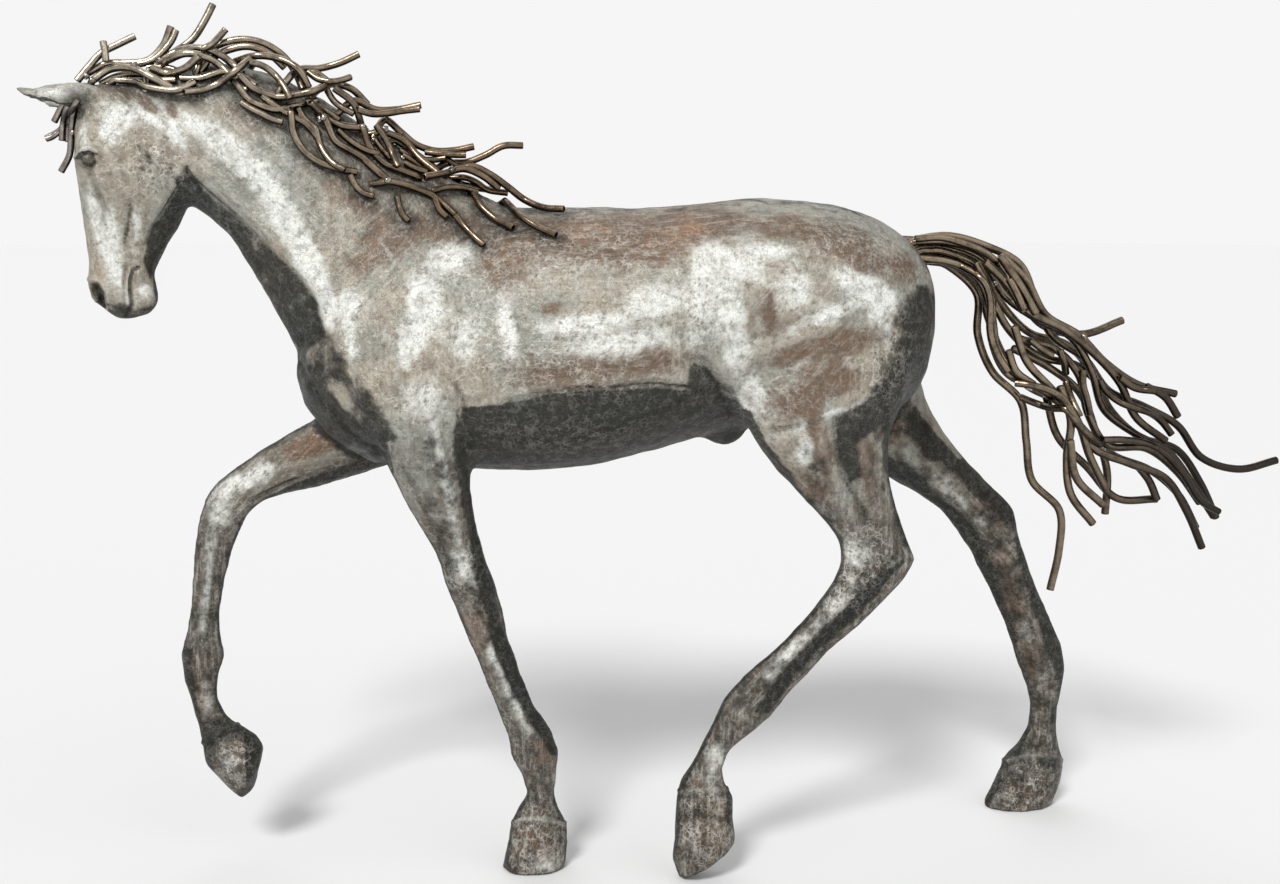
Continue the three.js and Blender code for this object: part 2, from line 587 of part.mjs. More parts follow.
function layRod([rootSide, tipSide, ...points], radius, spacing, ground, laid, leans) {
  const places = joints(points, spacing);
  const lines = places.map(lineOfSight);
  const last = places.length - 1;
  const depths = lines.map((line, i) => {
    const side = THREE.MathUtils.lerp(rootSide, tipSide, i / last) * share;
    const resting = ground ? depthOfBody(ground, places[i]) : Infinity;
    return Number.isFinite(resting) ? resting : (side - eye.y) / line.y;
  });
  const samples = [];
  for (let i = 0; i < last; i++) {
    const length = onLine(lines[i], depths[i]).distanceTo(onLine(lines[i + 1], depths[i + 1]));
    const count = Math.ceil(length / (sampleSpacing * share));
    for (let k = 0; k <= count; k++) {
      const part = k / count;
      const place = places[i].map((value, axis) => value + (places[i + 1][axis] - value) * part);
      samples.push({ i, part, limit: ground ? depthOfBody(ground, place) : Infinity });
    }
  }
  const pointAt = (i) => onLine(lines[i], depths[i]);
  const stepNeeded = ({ i, part, limit }) => {
    const point = pointAt(i).lerp(pointAt(i + 1), part);
    const line = lines[i].clone().lerp(lines[i + 1], part);
    let step = depths[i] * (1 - part) + depths[i + 1] * part - limit;
    for (const rod of laid) {
      const reach = radius + rod.radius + rodClearance;
      if (rod.bounds.distanceToPoint(point) > reach) continue;
      for (let j = 0; j + 1 < rod.points.length; j++) {
        const pair = [rod.points[j], rod.points[j + 1]];
        step = Math.max(step, stepInFront(point, line, pair, reach));
      }
    }
    return step;
  };
  const shift = (by) => depths.forEach((_, i) => (depths[i] += by * share));
  const cuts = () => samples.some((sample) => stepNeeded(sample) > tolerance);
  const leanBack = (by, most) => {
    let steps = 0;
    while (steps < most && !cuts()) {
      shift(by);
      steps++;
    }
    shift(steps < most ? -by : -most * by);
  };
  if (leans) leanBack(leanStep, leanSteps);
  for (let pass = 0; pass < clearingPasses; pass++) {
    let settled = true;
    for (const sample of samples) {
      const step = stepNeeded(sample);
      if (step < tolerance) continue;
      const { i, part } = sample;
      const weight = part * part + (1 - part) * (1 - part);
      depths[i] -= (step * (1 - part)) / weight;
      depths[i + 1] -= (step * part) / weight;
      settled = false;
    }
    if (settled) break;
  }
  if (leans) leanBack(settleStep, leanSteps);
  const overBody = places.map((place) => ground && Number.isFinite(depthOfBody(ground, place)));
  for (let round = 0; round < settleRounds; round++) {
    overBody.forEach((over, i) => {
      if (!over) return;
      depths[i] += settleStep * share;
      const beside = samples.filter((sample) => sample.i === i || sample.i === i - 1);
      if (beside.some((sample) => stepNeeded(sample) > tolerance)) depths[i] -= settleStep * share;
    });
  }
  const laidPoints = lines.map((line, i) => onLine(line, depths[i]));
  return { points: laidPoints, radius, bounds: new THREE.Box3().setFromPoints(laidPoints) };
}

// A straight-sided tube through the joints of a laid rod, closed at both ends.
function rodGeometry({ points, radius }) {
  const directions = points.map((point, i) => {
    const before = points[Math.max(i - 1, 0)];
    const after = points[Math.min(i + 1, points.length - 1)];
    return after.clone().sub(before).normalize();
  });
  const across = new THREE.Vector3(0, 1, 0).cross(directions[0]).normalize();
  const rings = points.map((point, i) => {
    if (i > 0) {
      const turn = new THREE.Quaternion().setFromUnitVectors(directions[i - 1], directions[i]);
      across.applyQuaternion(turn);
    }
    return Array.from({ length: rodSides }, (_, k) => {
      const angle = (2 * Math.PI * k) / rodSides;
      return across.clone().applyAxisAngle(directions[i], angle).multiplyScalar(radius).add(point);
    });
  });
  return skinThrough(rings);
}

const mirrored = (point) => new THREE.Vector3(point.x, -point.y, point.z);
const mirroredRod = (rod) => {
  const points = rod.points.map(mirrored);
  return { points, radius: rod.radius, bounds: new THREE.Box3().setFromPoints(points) };
};

// What the mane rests on: the body, grown so that a rod's middle line can lie on it.
const ground = new THREE.Mesh(geometryOf(spine(maneRodDiameter / 2 + rodClearance + restGap)));

// Rod ends are cut to fit the body.
const coping = join([
  spine(rodClearance),
  loft(nearEar, sides.ear, rodClearance),
  loft(offEar, sides.ear, rodClearance),
]);

const laid = [];
const pieces = [];

// Lays a row of rods one by one. Those of the off side are laid as seen from that side.
function layAll(name, rods, diameter, spacing, { ground, leans = true, offSide } = {}) {
  for (const rod of rods) {
    const others = offSide ? laid.map(mirroredRod) : laid;
    const own = layRod(rod, diameter / 2, spacing, ground, others, leans);
    const placed = offSide ? mirroredRod(own) : own;
    laid.push(placed);
    pieces.push({ name, rod: placed });
  }
}

layAll("forelock_rod", forelockRods, forelockRodDiameter, maneRodSpacing, { leans: false });
layAll("mane_rod", maneRods, maneRodDiameter, maneRodSpacing, { ground });
layAll("mane_rod", offManeRods, maneRodDiameter, maneRodSpacing, { ground, offSide: true });
layAll("tail_rod", tailRods, tailRodDiameter, tailRodSpacing);

// Assembly

const finishes = {
  horse_body: { color: 0x8f8b82, roughness: 0.6, metalness: 0.7 },
  forelock_rod: { color: 0xb3a89f, roughness: 0.35, metalness: 0.9 },
  mane_rod: { color: 0x8c7a66, roughness: 0.35, metalness: 0.9 },
  tail_rod: { color: 0x5a4e42, roughness: 0.4, metalness: 0.9 },
};
const materials = Object.fromEntries(
  Object.entries(finishes).map(([name, look]) => [name, new THREE.MeshStandardMaterial(look)]),
);

const horse = new THREE.Group();

function place(name, geometry, material) {
  const mesh = new THREE.Mesh(geometry, material);
  mesh.name = name;
  horse.add(mesh);
}

place("horse_body", geometryOf(standingBody()), materials.horse_body);
const counts = {};
for (const { name, rod } of pieces) {
  counts[name] = (counts[name] ?? 0) + 1;
  const piece = outward(rodGeometry(rod)).subtract(coping);
  place(`${name}_${String(counts[name]).padStart(2, "0")}`, geometryOf(piece), materials[name]);
}

// The origin is on the ground, under the middle of the whole figure.
const extent = new THREE.Box3().setFromObject(horse);
const middle = extent.getCenter(new THREE.Vector3());
horse.position.set(-middle.x, -middle.y, -extent.min.z);

export default horse;
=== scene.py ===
import json
import math
import random

import bmesh
import bpy
import numpy as np
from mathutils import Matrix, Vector, noise
from mathutils.bvhtree import BVHTree
from mathutils.kdtree import KDTree

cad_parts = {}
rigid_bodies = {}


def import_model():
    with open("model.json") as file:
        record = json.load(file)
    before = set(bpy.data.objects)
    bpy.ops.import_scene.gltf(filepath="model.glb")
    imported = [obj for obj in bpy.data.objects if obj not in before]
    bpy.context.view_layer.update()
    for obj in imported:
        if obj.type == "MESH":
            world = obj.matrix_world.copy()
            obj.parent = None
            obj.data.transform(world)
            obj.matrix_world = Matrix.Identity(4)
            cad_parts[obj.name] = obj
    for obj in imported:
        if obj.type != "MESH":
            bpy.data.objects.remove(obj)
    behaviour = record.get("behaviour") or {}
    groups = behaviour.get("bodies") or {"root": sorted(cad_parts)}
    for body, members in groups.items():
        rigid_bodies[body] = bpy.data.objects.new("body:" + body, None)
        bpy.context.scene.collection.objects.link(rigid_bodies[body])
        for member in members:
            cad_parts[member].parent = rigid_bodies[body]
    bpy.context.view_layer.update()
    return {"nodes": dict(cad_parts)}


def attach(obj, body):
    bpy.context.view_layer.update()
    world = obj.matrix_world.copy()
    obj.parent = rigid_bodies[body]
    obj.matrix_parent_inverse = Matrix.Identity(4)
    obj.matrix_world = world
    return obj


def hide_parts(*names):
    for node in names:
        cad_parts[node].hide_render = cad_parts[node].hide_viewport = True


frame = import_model()
bpy.ops.object.select_all(action="DESELECT")

# Viewpoint
# The horse is seen from a little ahead of its near side, at eye height, looking slightly down.
# The same view is the squared sheet, 1280 by 884, on which its rods and markings were drawn.
middle_plane_start = -0.14187
ahead = math.radians(8)
bowed = math.radians(9.5)
viewing_distance = 3.8
eye_height = 1.7
sheet_width = 1280
sheet_middle = (640, 442)
sheet_distance = 1577

viewpoint = Vector(
    (
        middle_plane_start - math.sin(ahead) * viewing_distance,
        -math.cos(ahead) * viewing_distance,
        eye_height,
    )
)
sight = Vector(
    (math.sin(ahead) * math.cos(bowed), math.cos(ahead) * math.cos(bowed), -math.sin(bowed))
)
rightward = Vector((math.cos(ahead), -math.sin(ahead), 0))
upward = rightward.cross(sight)

bpy.ops.object.camera_add(location=viewpoint, rotation=(math.pi / 2 - bowed, 0, -ahead))
camera = bpy.context.object
camera.name = "viewpoint"
camera.data.sensor_width = 36
camera.data.lens = sheet_distance * camera.data.sensor_width / sheet_width
camera.data.clip_end = 100
bpy.context.scene.camera = camera


def line_of_sight(place):
    across = (place[0] - sheet_middle[0]) / sheet_distance
    up = (sheet_middle[1] - place[1]) / sheet_distance
    return sight + rightward * across + upward * up


def sheet_places(points):
    offset = points - np.array(viewpoint)
    depth = offset @ np.array(sight)
    across = offset @ np.array(rightward) / depth
    up = offset @ np.array(upward) / depth
    return np.stack(
        (sheet_middle[0] + sheet_distance * across, sheet_middle[1] - sheet_distance * up), axis=1
    )


# Body
# One skin of hammered steel sheet, welded from small pieces, ground over and smoothed, with the
# muscles, tendons, hooves and face worked into it by hand.
skin_grain = 0.0066
skin_triangles = 190000


def select_only(piece):
    bpy.ops.object.select_all(action="DESELECT")
    piece.select_set(True)
    bpy.context.view_layer.objects.active = piece


def merged_copy(node, name):
    piece = bpy.data.objects.new(name, node.data.copy())
    bpy.context.scene.collection.objects.link(piece)
    select_only(piece)
    bpy.ops.object.mode_set(mode="EDIT")
    bpy.ops.mesh.select_all(action="SELECT")
    bpy.ops.mesh.remove_doubles(threshold=1e-5)
    bpy.ops.object.mode_set(mode="OBJECT")
    return piece


def apply_modifier(piece, kind, **settings):
    modifier = piece.modifiers.new(kind.title(), kind)
    for setting, value in settings.items():
        setattr(modifier, setting, value)
    select_only(piece)
    bpy.ops.object.modifier_apply(modifier=modifier.name)


def vertex_values(mesh, kind):
    """Each vertex's place, for the kind "co", or its outward direction, for "normal"."""
    flat = np.empty(len(mesh.vertices) * 3, np.float32)
    mesh.vertices.foreach_get(kind, flat)
    return flat.reshape(-1, 3).astype(float)


def move_vertices(mesh, points):
    mesh.vertices.foreach_set("co", points.astype(np.float32).ravel())
    mesh.update()


def smoothstep(low, high, value):
    share = np.clip((value - low) / (high - low), 0, 1)
    return share * share * (3 - 2 * share)


def surface_of(*pieces):
    mesh = bmesh.new()
    for piece in pieces:
        mesh.from_mesh(piece.data)
    tree = BVHTree.FromBMesh(mesh)
    mesh.free()
    return tree


class Neighbours:
    """The edges of a mesh, for taking means over each vertex's neighbours."""

    def __init__(self, mesh):
        ends = np.empty(len(mesh.edges) * 2, np.int32)
        mesh.edges.foreach_get("vertices", ends)
        self.start, self.end = ends.reshape(-1, 2).T
        self.size = len(mesh.vertices)
        self.count = np.bincount(self.start, minlength=self.size) + np.bincount(
            self.end, minlength=self.size
        )

    def mean(self, values):
        columns = [
            np.bincount(self.start, column[self.end], self.size)
            + np.bincount(self.end, column[self.start], self.size)
            for column in values.T
        ]
        return np.stack(columns, axis=1) / self.count[:, None]


body = merged_copy(frame["nodes"]["horse_body"], "hammered_body")
facets = surface_of(body)
apply_modifier(body, "REMESH", mode="VOXEL", voxel_size=skin_grain)

# The flat facets are hammered round: most on the broad forms of the trunk, neck and thighs, little
# on the legs and face, hardly at all on the ears. The skin is then brought back out to its size.
smoothing_rounds = 150
smoothing_pull = 0.6
return_rounds = 40
face_and_leg_share = 0.07
ear_smoothing = 0.012


def ear_share(points):
    """1 on the ears, forward of the poll and above it, and 0 elsewhere."""
    above = smoothstep(1.79, 1.80, points[:, 2])
    return above * (1 - smoothstep(-1.36, -1.33, points[:, 0]))


points = vertex_values(body.data, "co")
neighbours = Neighbours(body.data)
side_length, height = points[:, 0], points[:, 2]
behind_chest = smoothstep(-0.80, -0.62, side_length - (height - 1.0) * 0.6)
behind_face = smoothstep(-1.32, -1.05, side_length)
broad = smoothstep(0.62, 1.02, height) * behind_chest
broad = np.maximum(broad * (0.25 + 0.75 * behind_face), face_and_leg_share)
ear = ear_share(points)
freedom = (broad * (1 - ear) + ear_smoothing * ear)[:, None] * smoothing_pull
for round_number in range(smoothing_rounds):
    points += (neighbours.mean(points) - points) * freedom
move_vertices(body.data, points)

normals = vertex_values(body.data, "normal")
inset = np.empty((len(points), 1))
for index, (point, normal) in enumerate(zip(points, normals)):
    nearest = facets.find_nearest(Vector(point))[0]
    inset[index] = (np.array(nearest) - point) @ normal
for round_number in range(return_rounds):
    inset += (neighbours.mean(inset) - inset) * smoothing_pull
points += normals * inset
move_vertices(body.data, points)

# The face is worked finer than the rest.
fine_from = -1.02
chin_height = 1.25
ear_tips = 1.95
shape = bmesh.new()
shape.from_mesh(body.data)
face_edges = [
    edge
    for edge in shape.edges
    if all(
        vertex.co.x < fine_from and chin_height < vertex.co.z < ear_tips
        for vertex in edge.verts
    )
]
bmesh.ops.subdivide_edges(shape, edges=face_edges, cuts=1, use_grid_fill=True)
shape.to_mesh(body.data)
shape.free()
points = vertex_values(body.data, "co")
leg_top = 0.98
raised_leg_start = -0.62
raised_leg_top = 1.12


def drawn_side(points):
    """The points as the drawing shows them: the off side of the trunk, neck and head like the near."""
    shown = points.copy()
    raised_leg = (points[:, 0] < raised_leg_start) & (points[:, 2] < raised_leg_top)
    leg = (points[:, 2] < leg_top) | raised_leg
    shown[:, 1] = np.where(leg, points[:, 1], -np.abs(points[:, 1]))
    return shown, leg


def distance_to_line(places, line):
    nearest = np.full(len(places), np.inf)
    for start, end in zip(line, line[1:]):
        start, end = np.array(start, float), np.array(end, float)
        along = end - start
        share = np.clip((places - start) @ along / (along @ along), 0, 1)
        offset = places - start - share[:, None] * along
        nearest = np.minimum(nearest, np.hypot(offset[:, 0], offset[:, 1]))
    return nearest


# Creases and ridges worked into the sheet: how high each stands, in millimetres, below zero for a
# groove, its half width in squares of the sheet, and the line that it follows.
worked_lines = [
    # head
    (8, 2.4, [(77, 157), (81, 152), (86, 148.5), (92, 148), (97, 152)]),
    (-5, 1.6, [(78, 160), (82, 154.5), (88, 152.5), (94, 155)]),
    (-5, 1.8, [(79, 163), (84, 167.5), (90, 168), (95, 163)]),
    (-4, 3, [(90, 172), (95, 186), (101, 200), (107, 211)]),
    (3, 3.5, [(97, 176), (104, 192), (112, 206)]),
    (-3, 4, [(131, 199), (129, 215), (127, 232), (125, 246)]),
    (3, 4, [(118, 205), (115, 225), (114, 245)]),
    (-5, 2.5, [(187, 168), (180, 185), (167, 207), (153, 228), (147, 244)]),
    (3, 5, [(180, 165), (171, 190), (158, 210)]),
    (4, 2.2, [(89, 279), (95, 280), (102, 285), (107, 293), (108, 302)]),
    (-9, 2.2, [(97, 289), (101, 295), (102, 303), (104, 309)]),
    (-4, 1.6, [(126, 270), (123.5, 280), (124, 292), (125, 305)]),
    (4, 1.8, [(129.5, 270), (127, 280), (127, 292), (128, 306)]),
    (-6, 1.6, [(139, 268), (133, 271), (130.5, 279), (130.5, 291), (132, 304), (126, 316)]),
    (3, 2.5, [(137, 262), (142, 268), (138, 274)]),
    (4, 5, [(145, 290), (150, 299)]),
    # throat and neck
    (-6, 3, [(192, 180), (205, 192), (238, 220), (271, 251), (298, 277), (316, 304), (321, 330)]),
    (4, 6, [(200, 170), (236, 200), (275, 238), (305, 268), (326, 300)]),
    (3, 3, [(215, 222), (248, 262), (281, 316), (297, 345)]),
    (-3, 2.5, [(222, 218), (255, 258), (286, 306), (302, 338)]),
    (-4, 6, [(373, 228), (352, 256), (334, 282), (322, 305)]),
    (3, 7, [(392, 232), (368, 264), (348, 296)]),
    # shoulder and chest
    (-4, 2.5, [(302, 338), (300, 348), (303, 358), (312, 367), (322, 366)]),
    (3, 4, [(310, 342), (316, 350), (324, 352)]),
    (-6, 3, [(299, 362), (310, 385), (327, 405), (351, 435), (382, 453)]),
    (4, 5, [(312, 360), (330, 392), (356, 424), (384, 444)]),
    (-3, 5, [(372, 300), (380, 330), (384, 360)]),
    (-3, 5, [(432, 250), (428, 290), (412, 330), (396, 352)]),
    (5, 3.5, [(410, 392), (414, 382), (424, 378), (436, 382), (441, 394)]),
    (5, 3.5, [(410, 392), (412, 410), (420, 419), (430, 416), (441, 394)]),
    (-5, 2.5, [(455, 384), (464, 402), (468, 425), (470, 450)]),
    (-5, 2.5, [(386, 446), (390, 470)]),
    # flank and belly
    (-6, 3, [(510, 402), (545, 394), (581, 390), (618, 389), (655, 386), (704, 392)]),
    (3, 4, [(515, 392), (581, 380), (655, 376), (700, 382)]),
    (-3, 3, [(500, 440), (561, 443), (622, 425), (684, 400), (720, 412)]),
    (-7, 4.5, [(686, 358), (704, 362), (718, 382), (727, 404), (736, 424)]),
    (5, 5, [(712, 352), (730, 376), (742, 402), (756, 428)]),
    (5, 6, [(688, 246), (700, 258), (712, 270)]),
    (-1.2, 3, [(512, 274), (560, 271), (610, 273), (650, 269)]),
    (2.5, 5, [(700, 262), (730, 285), (790, 292), (850, 282)]),
    # thigh and buttock
    (-3, 5, [(738, 345), (778, 330), (820, 312), (866, 290)]),
    (3, 5, [(742, 355), (790, 344), (840, 322)]),
    (-5, 3, [(884, 393), (858, 404), (834, 417), (803, 426), (772, 431)]),
    (-6, 2.6, [(834, 420), (836, 447), (844, 478), (858, 502), (870, 524)]),
    (4, 3, [(822, 428), (822, 450), (834, 478), (850, 510), (863, 536)]),
    (-4, 3, [(886, 400), (884, 430), (888, 460), (894, 500), (900, 528)]),
    (3, 3.5, [(862, 424), (864, 452), (872, 484), (884, 520)]),
    # near hind leg
    (-4, 2, [(905, 540), (896, 556), (880, 572), (862, 596)]),
    (3, 3, [(852, 560), (862, 572), (856, 588)]),
    (-4, 1.8, [(858, 606), (832, 634), (803, 664), (776, 688)]),
    (3, 2, [(850, 600), (818, 634), (788, 662), (760, 688)]),
    (3, 2.5, [(728, 706), (740, 716), (752, 722)]),
    (5, 2, [(677, 790), (692, 791), (712, 790), (734, 787)]),
    (-4, 1.8, [(677, 796), (692, 797), (712, 796), (734, 793)]),
    # near fore leg
    (-4, 2.4, [(404, 470), (424, 510), (444, 552), (455, 582)]),
    (3, 2.5, [(436, 430), (440, 470), (452, 512), (464, 552)]),
    (-4, 2, [(462, 440), (468, 490), (474, 530), (482, 566)]),
    (-3, 2, [(447, 590), (458, 598), (474, 600), (497, 594)]),
    (4, 2, [(462, 612), (476, 640), (494, 676), (512, 712), (530, 742)]),
    (-5, 1.8, [(480, 612), (494, 640), (508, 676), (526, 712), (542, 738)]),
    (5, 2, [(509, 822), (524, 819), (546, 819), (567, 823)]),
    (-4, 1.8, [(508, 828), (524, 825), (546, 825), (567, 829)]),
    (-4, 2, [(530, 782), (536, 800), (548, 812)]),
    # raised off fore leg
    (4, 3, [(370, 436), (326, 458), (282, 468), (244, 490)]),
    (-4, 2.2, [(376, 448), (330, 468), (286, 484), (248, 502)]),
    (-3, 2, [(204, 505), (216, 514), (238, 522)]),
    (4, 2, [(208, 530), (203, 570), (202, 610), (198, 636)]),
    (-4, 1.6, [(222, 534), (214, 572), (211, 608), (208, 634)]),
    (5, 1.8, [(203, 742), (214, 735), (226, 727), (238, 724)]),
    (-4, 1.6, [(206, 747), (217, 740), (230, 732), (242, 729)]),
    # off hind leg
    (-4, 2.6, [(890, 470), (926, 490), (962, 518), (986, 548)]),
    (3, 3, [(905, 440), (936, 470), (972, 500), (1000, 530)]),
    (4, 2, [(1008, 560), (1018, 590), (1032, 620), (1046, 650)]),
    (-4, 1.8, [(998, 566), (1008, 596), (1020, 626), (1030, 654)]),
    (5, 2, [(1004, 760), (1022, 756), (1042, 756), (1062, 760)]),
    (-4, 1.8, [(1001, 766), (1020, 762), (1042, 762), (1062, 766)]),
]

# Swellings and hollows: height in millimetres, middle on the sheet, and half length, half width
# and turn in degrees.
worked_forms = [
    (6, (87, 160), 6.5, 5.5, 0),
    (-4, (108, 165), 12, 8, -30),
    (5, (160, 165), 26, 30, 0),
    (-4, (136, 96), 12, 8, 20),
    (6, (316, 350), 13, 13, 0),
    (7, (345, 330), 22, 40, -20),
    (8, (425, 335), 30, 45, 15),
    (-5, (470, 330), 14, 50, 5),
    (6, (425, 400), 13, 14, 0),
    (5, (560, 330), 50, 30, -8),
    (-6, (672, 325), 20, 28, 0),
    (7, (697, 250), 16, 12, 40),
    (6, (790, 250), 50, 26, -5),
    (-4, (735, 300), 14, 26, 20),
    (7, (850, 330), 40, 50, 0),
    (6, (770, 395), 26, 36, -30),
    (-5, (875, 425), 8, 26, 0),
    (4, (480, 578), 12, 12, 0),
    (4, (862, 562), 14, 14, 0),
    (4, (224, 506), 13, 13, 0),
    (-4, (700, 840), 10, 30, 0),
    (-3, (530, 858), 8, 20, 0),
]


def form_share(places, middle, half_length, half_width, turn):
    angle = math.radians(turn)
    offset = places - np.array(middle, float)
    along = offset[:, 0] * math.cos(angle) + offset[:, 1] * math.sin(angle)
    across = offset[:, 1] * math.cos(angle) - offset[:, 0] * math.sin(angle)
    return np.exp(-((along / half_length) ** 2) - (across / half_width) ** 2)


normals = vertex_values(body.data, "normal")
shown, on_leg = drawn_side(points)
places = sheet_places(shown)
facing = -(normals @ np.array(sight))
facing_mirrored = -(normals * (1, -1, 1) @ np.array(sight))
trunk_facing = np.where(points[:, 1] > 0, facing_mirrored, facing)
facing = np.where(on_leg, np.abs(facing), trunk_facing)
open_to_view = smoothstep(0.05, 0.4, facing)

relief = np.zeros(len(points))
for rise, half_width, line in worked_lines:
    relief += rise * np.exp(-((distance_to_line(places, line) / half_width) ** 2))
for rise, middle, half_length, half_width, turn in worked_forms:
    relief += rise * form_share(places, middle, half_length, half_width, turn)
relief *= open_to_view

# Hammer blows leave shallow dents, and seams between the sheets low ripples, in millimetres.
dent_depth = 1.3
ears_spared = 0.75
millimetres = 1000
dents = np.array(
    [
        1.6 * noise.noise(Vector(point) * 16)
        + 0.9 * noise.noise(Vector(point) * 38 + Vector((7, 3, 5)))
        - 0.9 * max(0.0, 0.45 - noise.voronoi(Vector(point) * 26)[0][0])
        for point in points
    ]
)
raised = (relief + dents * dent_depth) * (1 - ears_spared * ear_share(points))
points += normals * raised[:, None] / millimetres
points[:, 2] = np.maximum(points[:, 2], 0)
move_vertices(body.data, points)
triangles = sum(len(polygon.vertices) - 2 for polygon in body.data.polygons)
if triangles > skin_triangles:
    apply_modifier(body, "DECIMATE", ratio=skin_triangles / triangles)
select_only(body)
bpy.ops.object.shade_smooth()

# The wax and patina were brushed on in patches: chalk on the high sides, brown over the back and
# thighs, rust in a few places, and crackle where the wax dried thick. Each patch has its strength,
# its middle on the sheet, its half length and half width and its turn.
chalk_patches = [
    (0.8, (140, 112), 26, 12, 10),
    (1.0, (112, 128), 16, 15, 0),
    (0.8, (165, 118), 18, 9, 50),
    (1.0, (172, 130), 24, 7, 58),
    (0.25, (150, 172), 20, 18, 0),
    (0.7, (84, 135), 6, 18, 0),
    (1.0, (112, 240), 36, 9, 84),
    (0.9, (97, 222), 34, 5, 80),
    (0.6, (137, 225), 24, 5, 90),
    (0.8, (146, 291), 9, 8, 0),
    (0.7, (118, 275), 18, 4, 75),
    (0.7, (62, 92), 26, 6, -8),
    (0.9, (200, 128), 26, 9, 35),
    (1.0, (232, 150), 30, 12, 38),
    (1.0, (262, 182), 34, 13, 48),
    (1.0, (286, 222), 30, 13, 58),
    (1.0, (306, 258), 28, 14, 62),
    (1.0, (326, 303), 26, 8, 80),
    (0.8, (350, 306), 12, 20, 0),
    (0.5, (352, 345), 8, 22, -12),
    (0.7, (448, 258), 26, 16, -10),
    (1.0, (424, 300), 18, 30, 12),
    (0.9, (410, 345), 12, 22, 20),
    (0.6, (462, 335), 20, 26, 0),
    (1.0, (509, 338), 9, 20, 0),
    (0.6, (503, 300), 5, 26, 0),
    (0.8, (590, 322), 46, 9, -8),
    (1.0, (656, 300), 32, 16, 0),
    (0.7, (620, 345), 60, 14, -6),
    (0.8, (700, 285), 12, 40, 8),
    (0.9, (728, 300), 14, 44, -16),
    (0.9, (735, 262), 26, 11, 22),
    (0.7, (768, 250), 34, 8, -2),
    (0.6, (795, 290), 22, 18, 0),
    (1.0, (860, 285), 26, 15, 25),
    (0.9, (882, 310), 14, 24, 0),
    (0.7, (820, 318), 40, 9, -22),
    (0.6, (742, 372), 14, 30, -20),
    (0.6, (762, 402), 24, 14, 0),
    (0.7, (830, 415), 50, 3.5, -22),
    (0.9, (806, 452), 10, 14, 0),
    (0.4, (425, 400), 24, 24, 0),
    (0.6, (440, 450), 5, 40, -16),
    (0.7, (462, 566), 12, 16, 0),
    (0.7, (856, 556), 14, 20, 0),
    (0.5, (838, 600), 20, 12, -45),
    (0.8, (250, 478), 34, 10, -25),
    (0.6, (222, 512), 14, 14, 0),
    (0.5, (205, 690), 5, 24, -12),
    (0.6, (543, 864), 9, 8, 0),
    (0.5, (716, 760), 8, 26, 12),
    (0.5, (355, 448), 16, 8, 0),
    # The thin streaks below, down the middles of the legs, are painted highlight together with chalk.
    (0.55, (452, 510), 6, 45, -14),
    (0.60, (492, 655), 6, 50, -27),
    (0.50, (520, 715), 5, 30, -28),
    (0.55, (208, 585), 6, 45, 4),
    (0.30, (228, 765), 10, 12, 0),
    (0.60, (800, 642), 48, 6, -43),
    (0.50, (960, 500), 34, 7, 45),
    (0.50, (1030, 640), 7, 46, -18),
    (0.20, (535, 848), 14, 14, 0),
    (0.35, (700, 825), 14, 22, 0),
]
brown_patches = [
    (0.9, (560, 238), 60, 22, 0),
    (1.0, (640, 240), 60, 24, 0),
    (1.0, (500, 262), 22, 24, -30),
    (0.9, (378, 248), 36, 18, -42),
    (0.7, (440, 228), 50, 16, 0),
    (0.5, (360, 200), 34, 18, 35),
    (0.5, (700, 215), 40, 16, 0),
    (0.6, (790, 228), 70, 14, 4),
    (0.8, (860, 256), 34, 14, 20),
    (0.5, (905, 270), 14, 20, 0),
    (0.6, (560, 375), 60, 22, 0),
    (0.5, (650, 362), 60, 16, -5),
    (0.6, (552, 308), 12, 7, -20),
    (0.7, (769, 312), 9, 28, 0),
    (0.8, (810, 348), 56, 9, -22),
    (0.7, (850, 345), 34, 12, -24),
    (0.9, (832, 378), 26, 14, 0),
    (0.8, (800, 400), 40, 16, -14),
    (0.8, (820, 440), 9, 40, -14),
    (0.8, (866, 460), 8, 40, -10),
    (0.6, (812, 490), 26, 12, 45),
    (1.0, (320, 442), 40, 12, -24),
    (0.4, (130, 95), 30, 7, 8),
    (0.8, (150, 108), 12, 6, 30),
    (0.7, (172, 110), 5, 11, -30),
    (0.4, (93, 285), 8, 12, 20),
    (0.9, (902, 440), 20, 16, 40),
    (0.6, (945, 440), 30, 16, 50),
    (0.6, (985, 500), 34, 14, 50),
    (0.7, (1012, 590), 12, 50, -16),
    (0.6, (1035, 660), 12, 26, -10),
    (0.35, (1030, 790), 34, 30, 0),
    (0.7, (700, 700), 60, 14, -50),
    (0.35, (705, 820), 34, 44, 0),
    (0.6, (476, 630), 12, 40, -22),
    (0.35, (535, 845), 36, 34, 0),
    (0.6, (545, 750), 14, 20, 0),
    (0.5, (200, 690), 14, 30, -10),
    (0.6, (470, 500), 8, 50, -10),
]
rust_patches = [
    (0.9, (692, 231), 18, 11, 0),
    (0.5, (585, 232), 30, 9, 0),
    (0.8, (708, 396), 14, 6, 0),
    (0.6, (330, 437), 26, 9, -24),
    (0.5, (900, 428), 14, 8, 50),
    (0.6, (728, 790), 10, 7, 0),
    (0.3, (500, 262), 14, 14, 0),
    (0.3, (660, 242), 30, 12, 0),
    (0.3, (100, 270), 5, 12, 0),
    (0.3, (240, 745), 9, 9, 0),
]
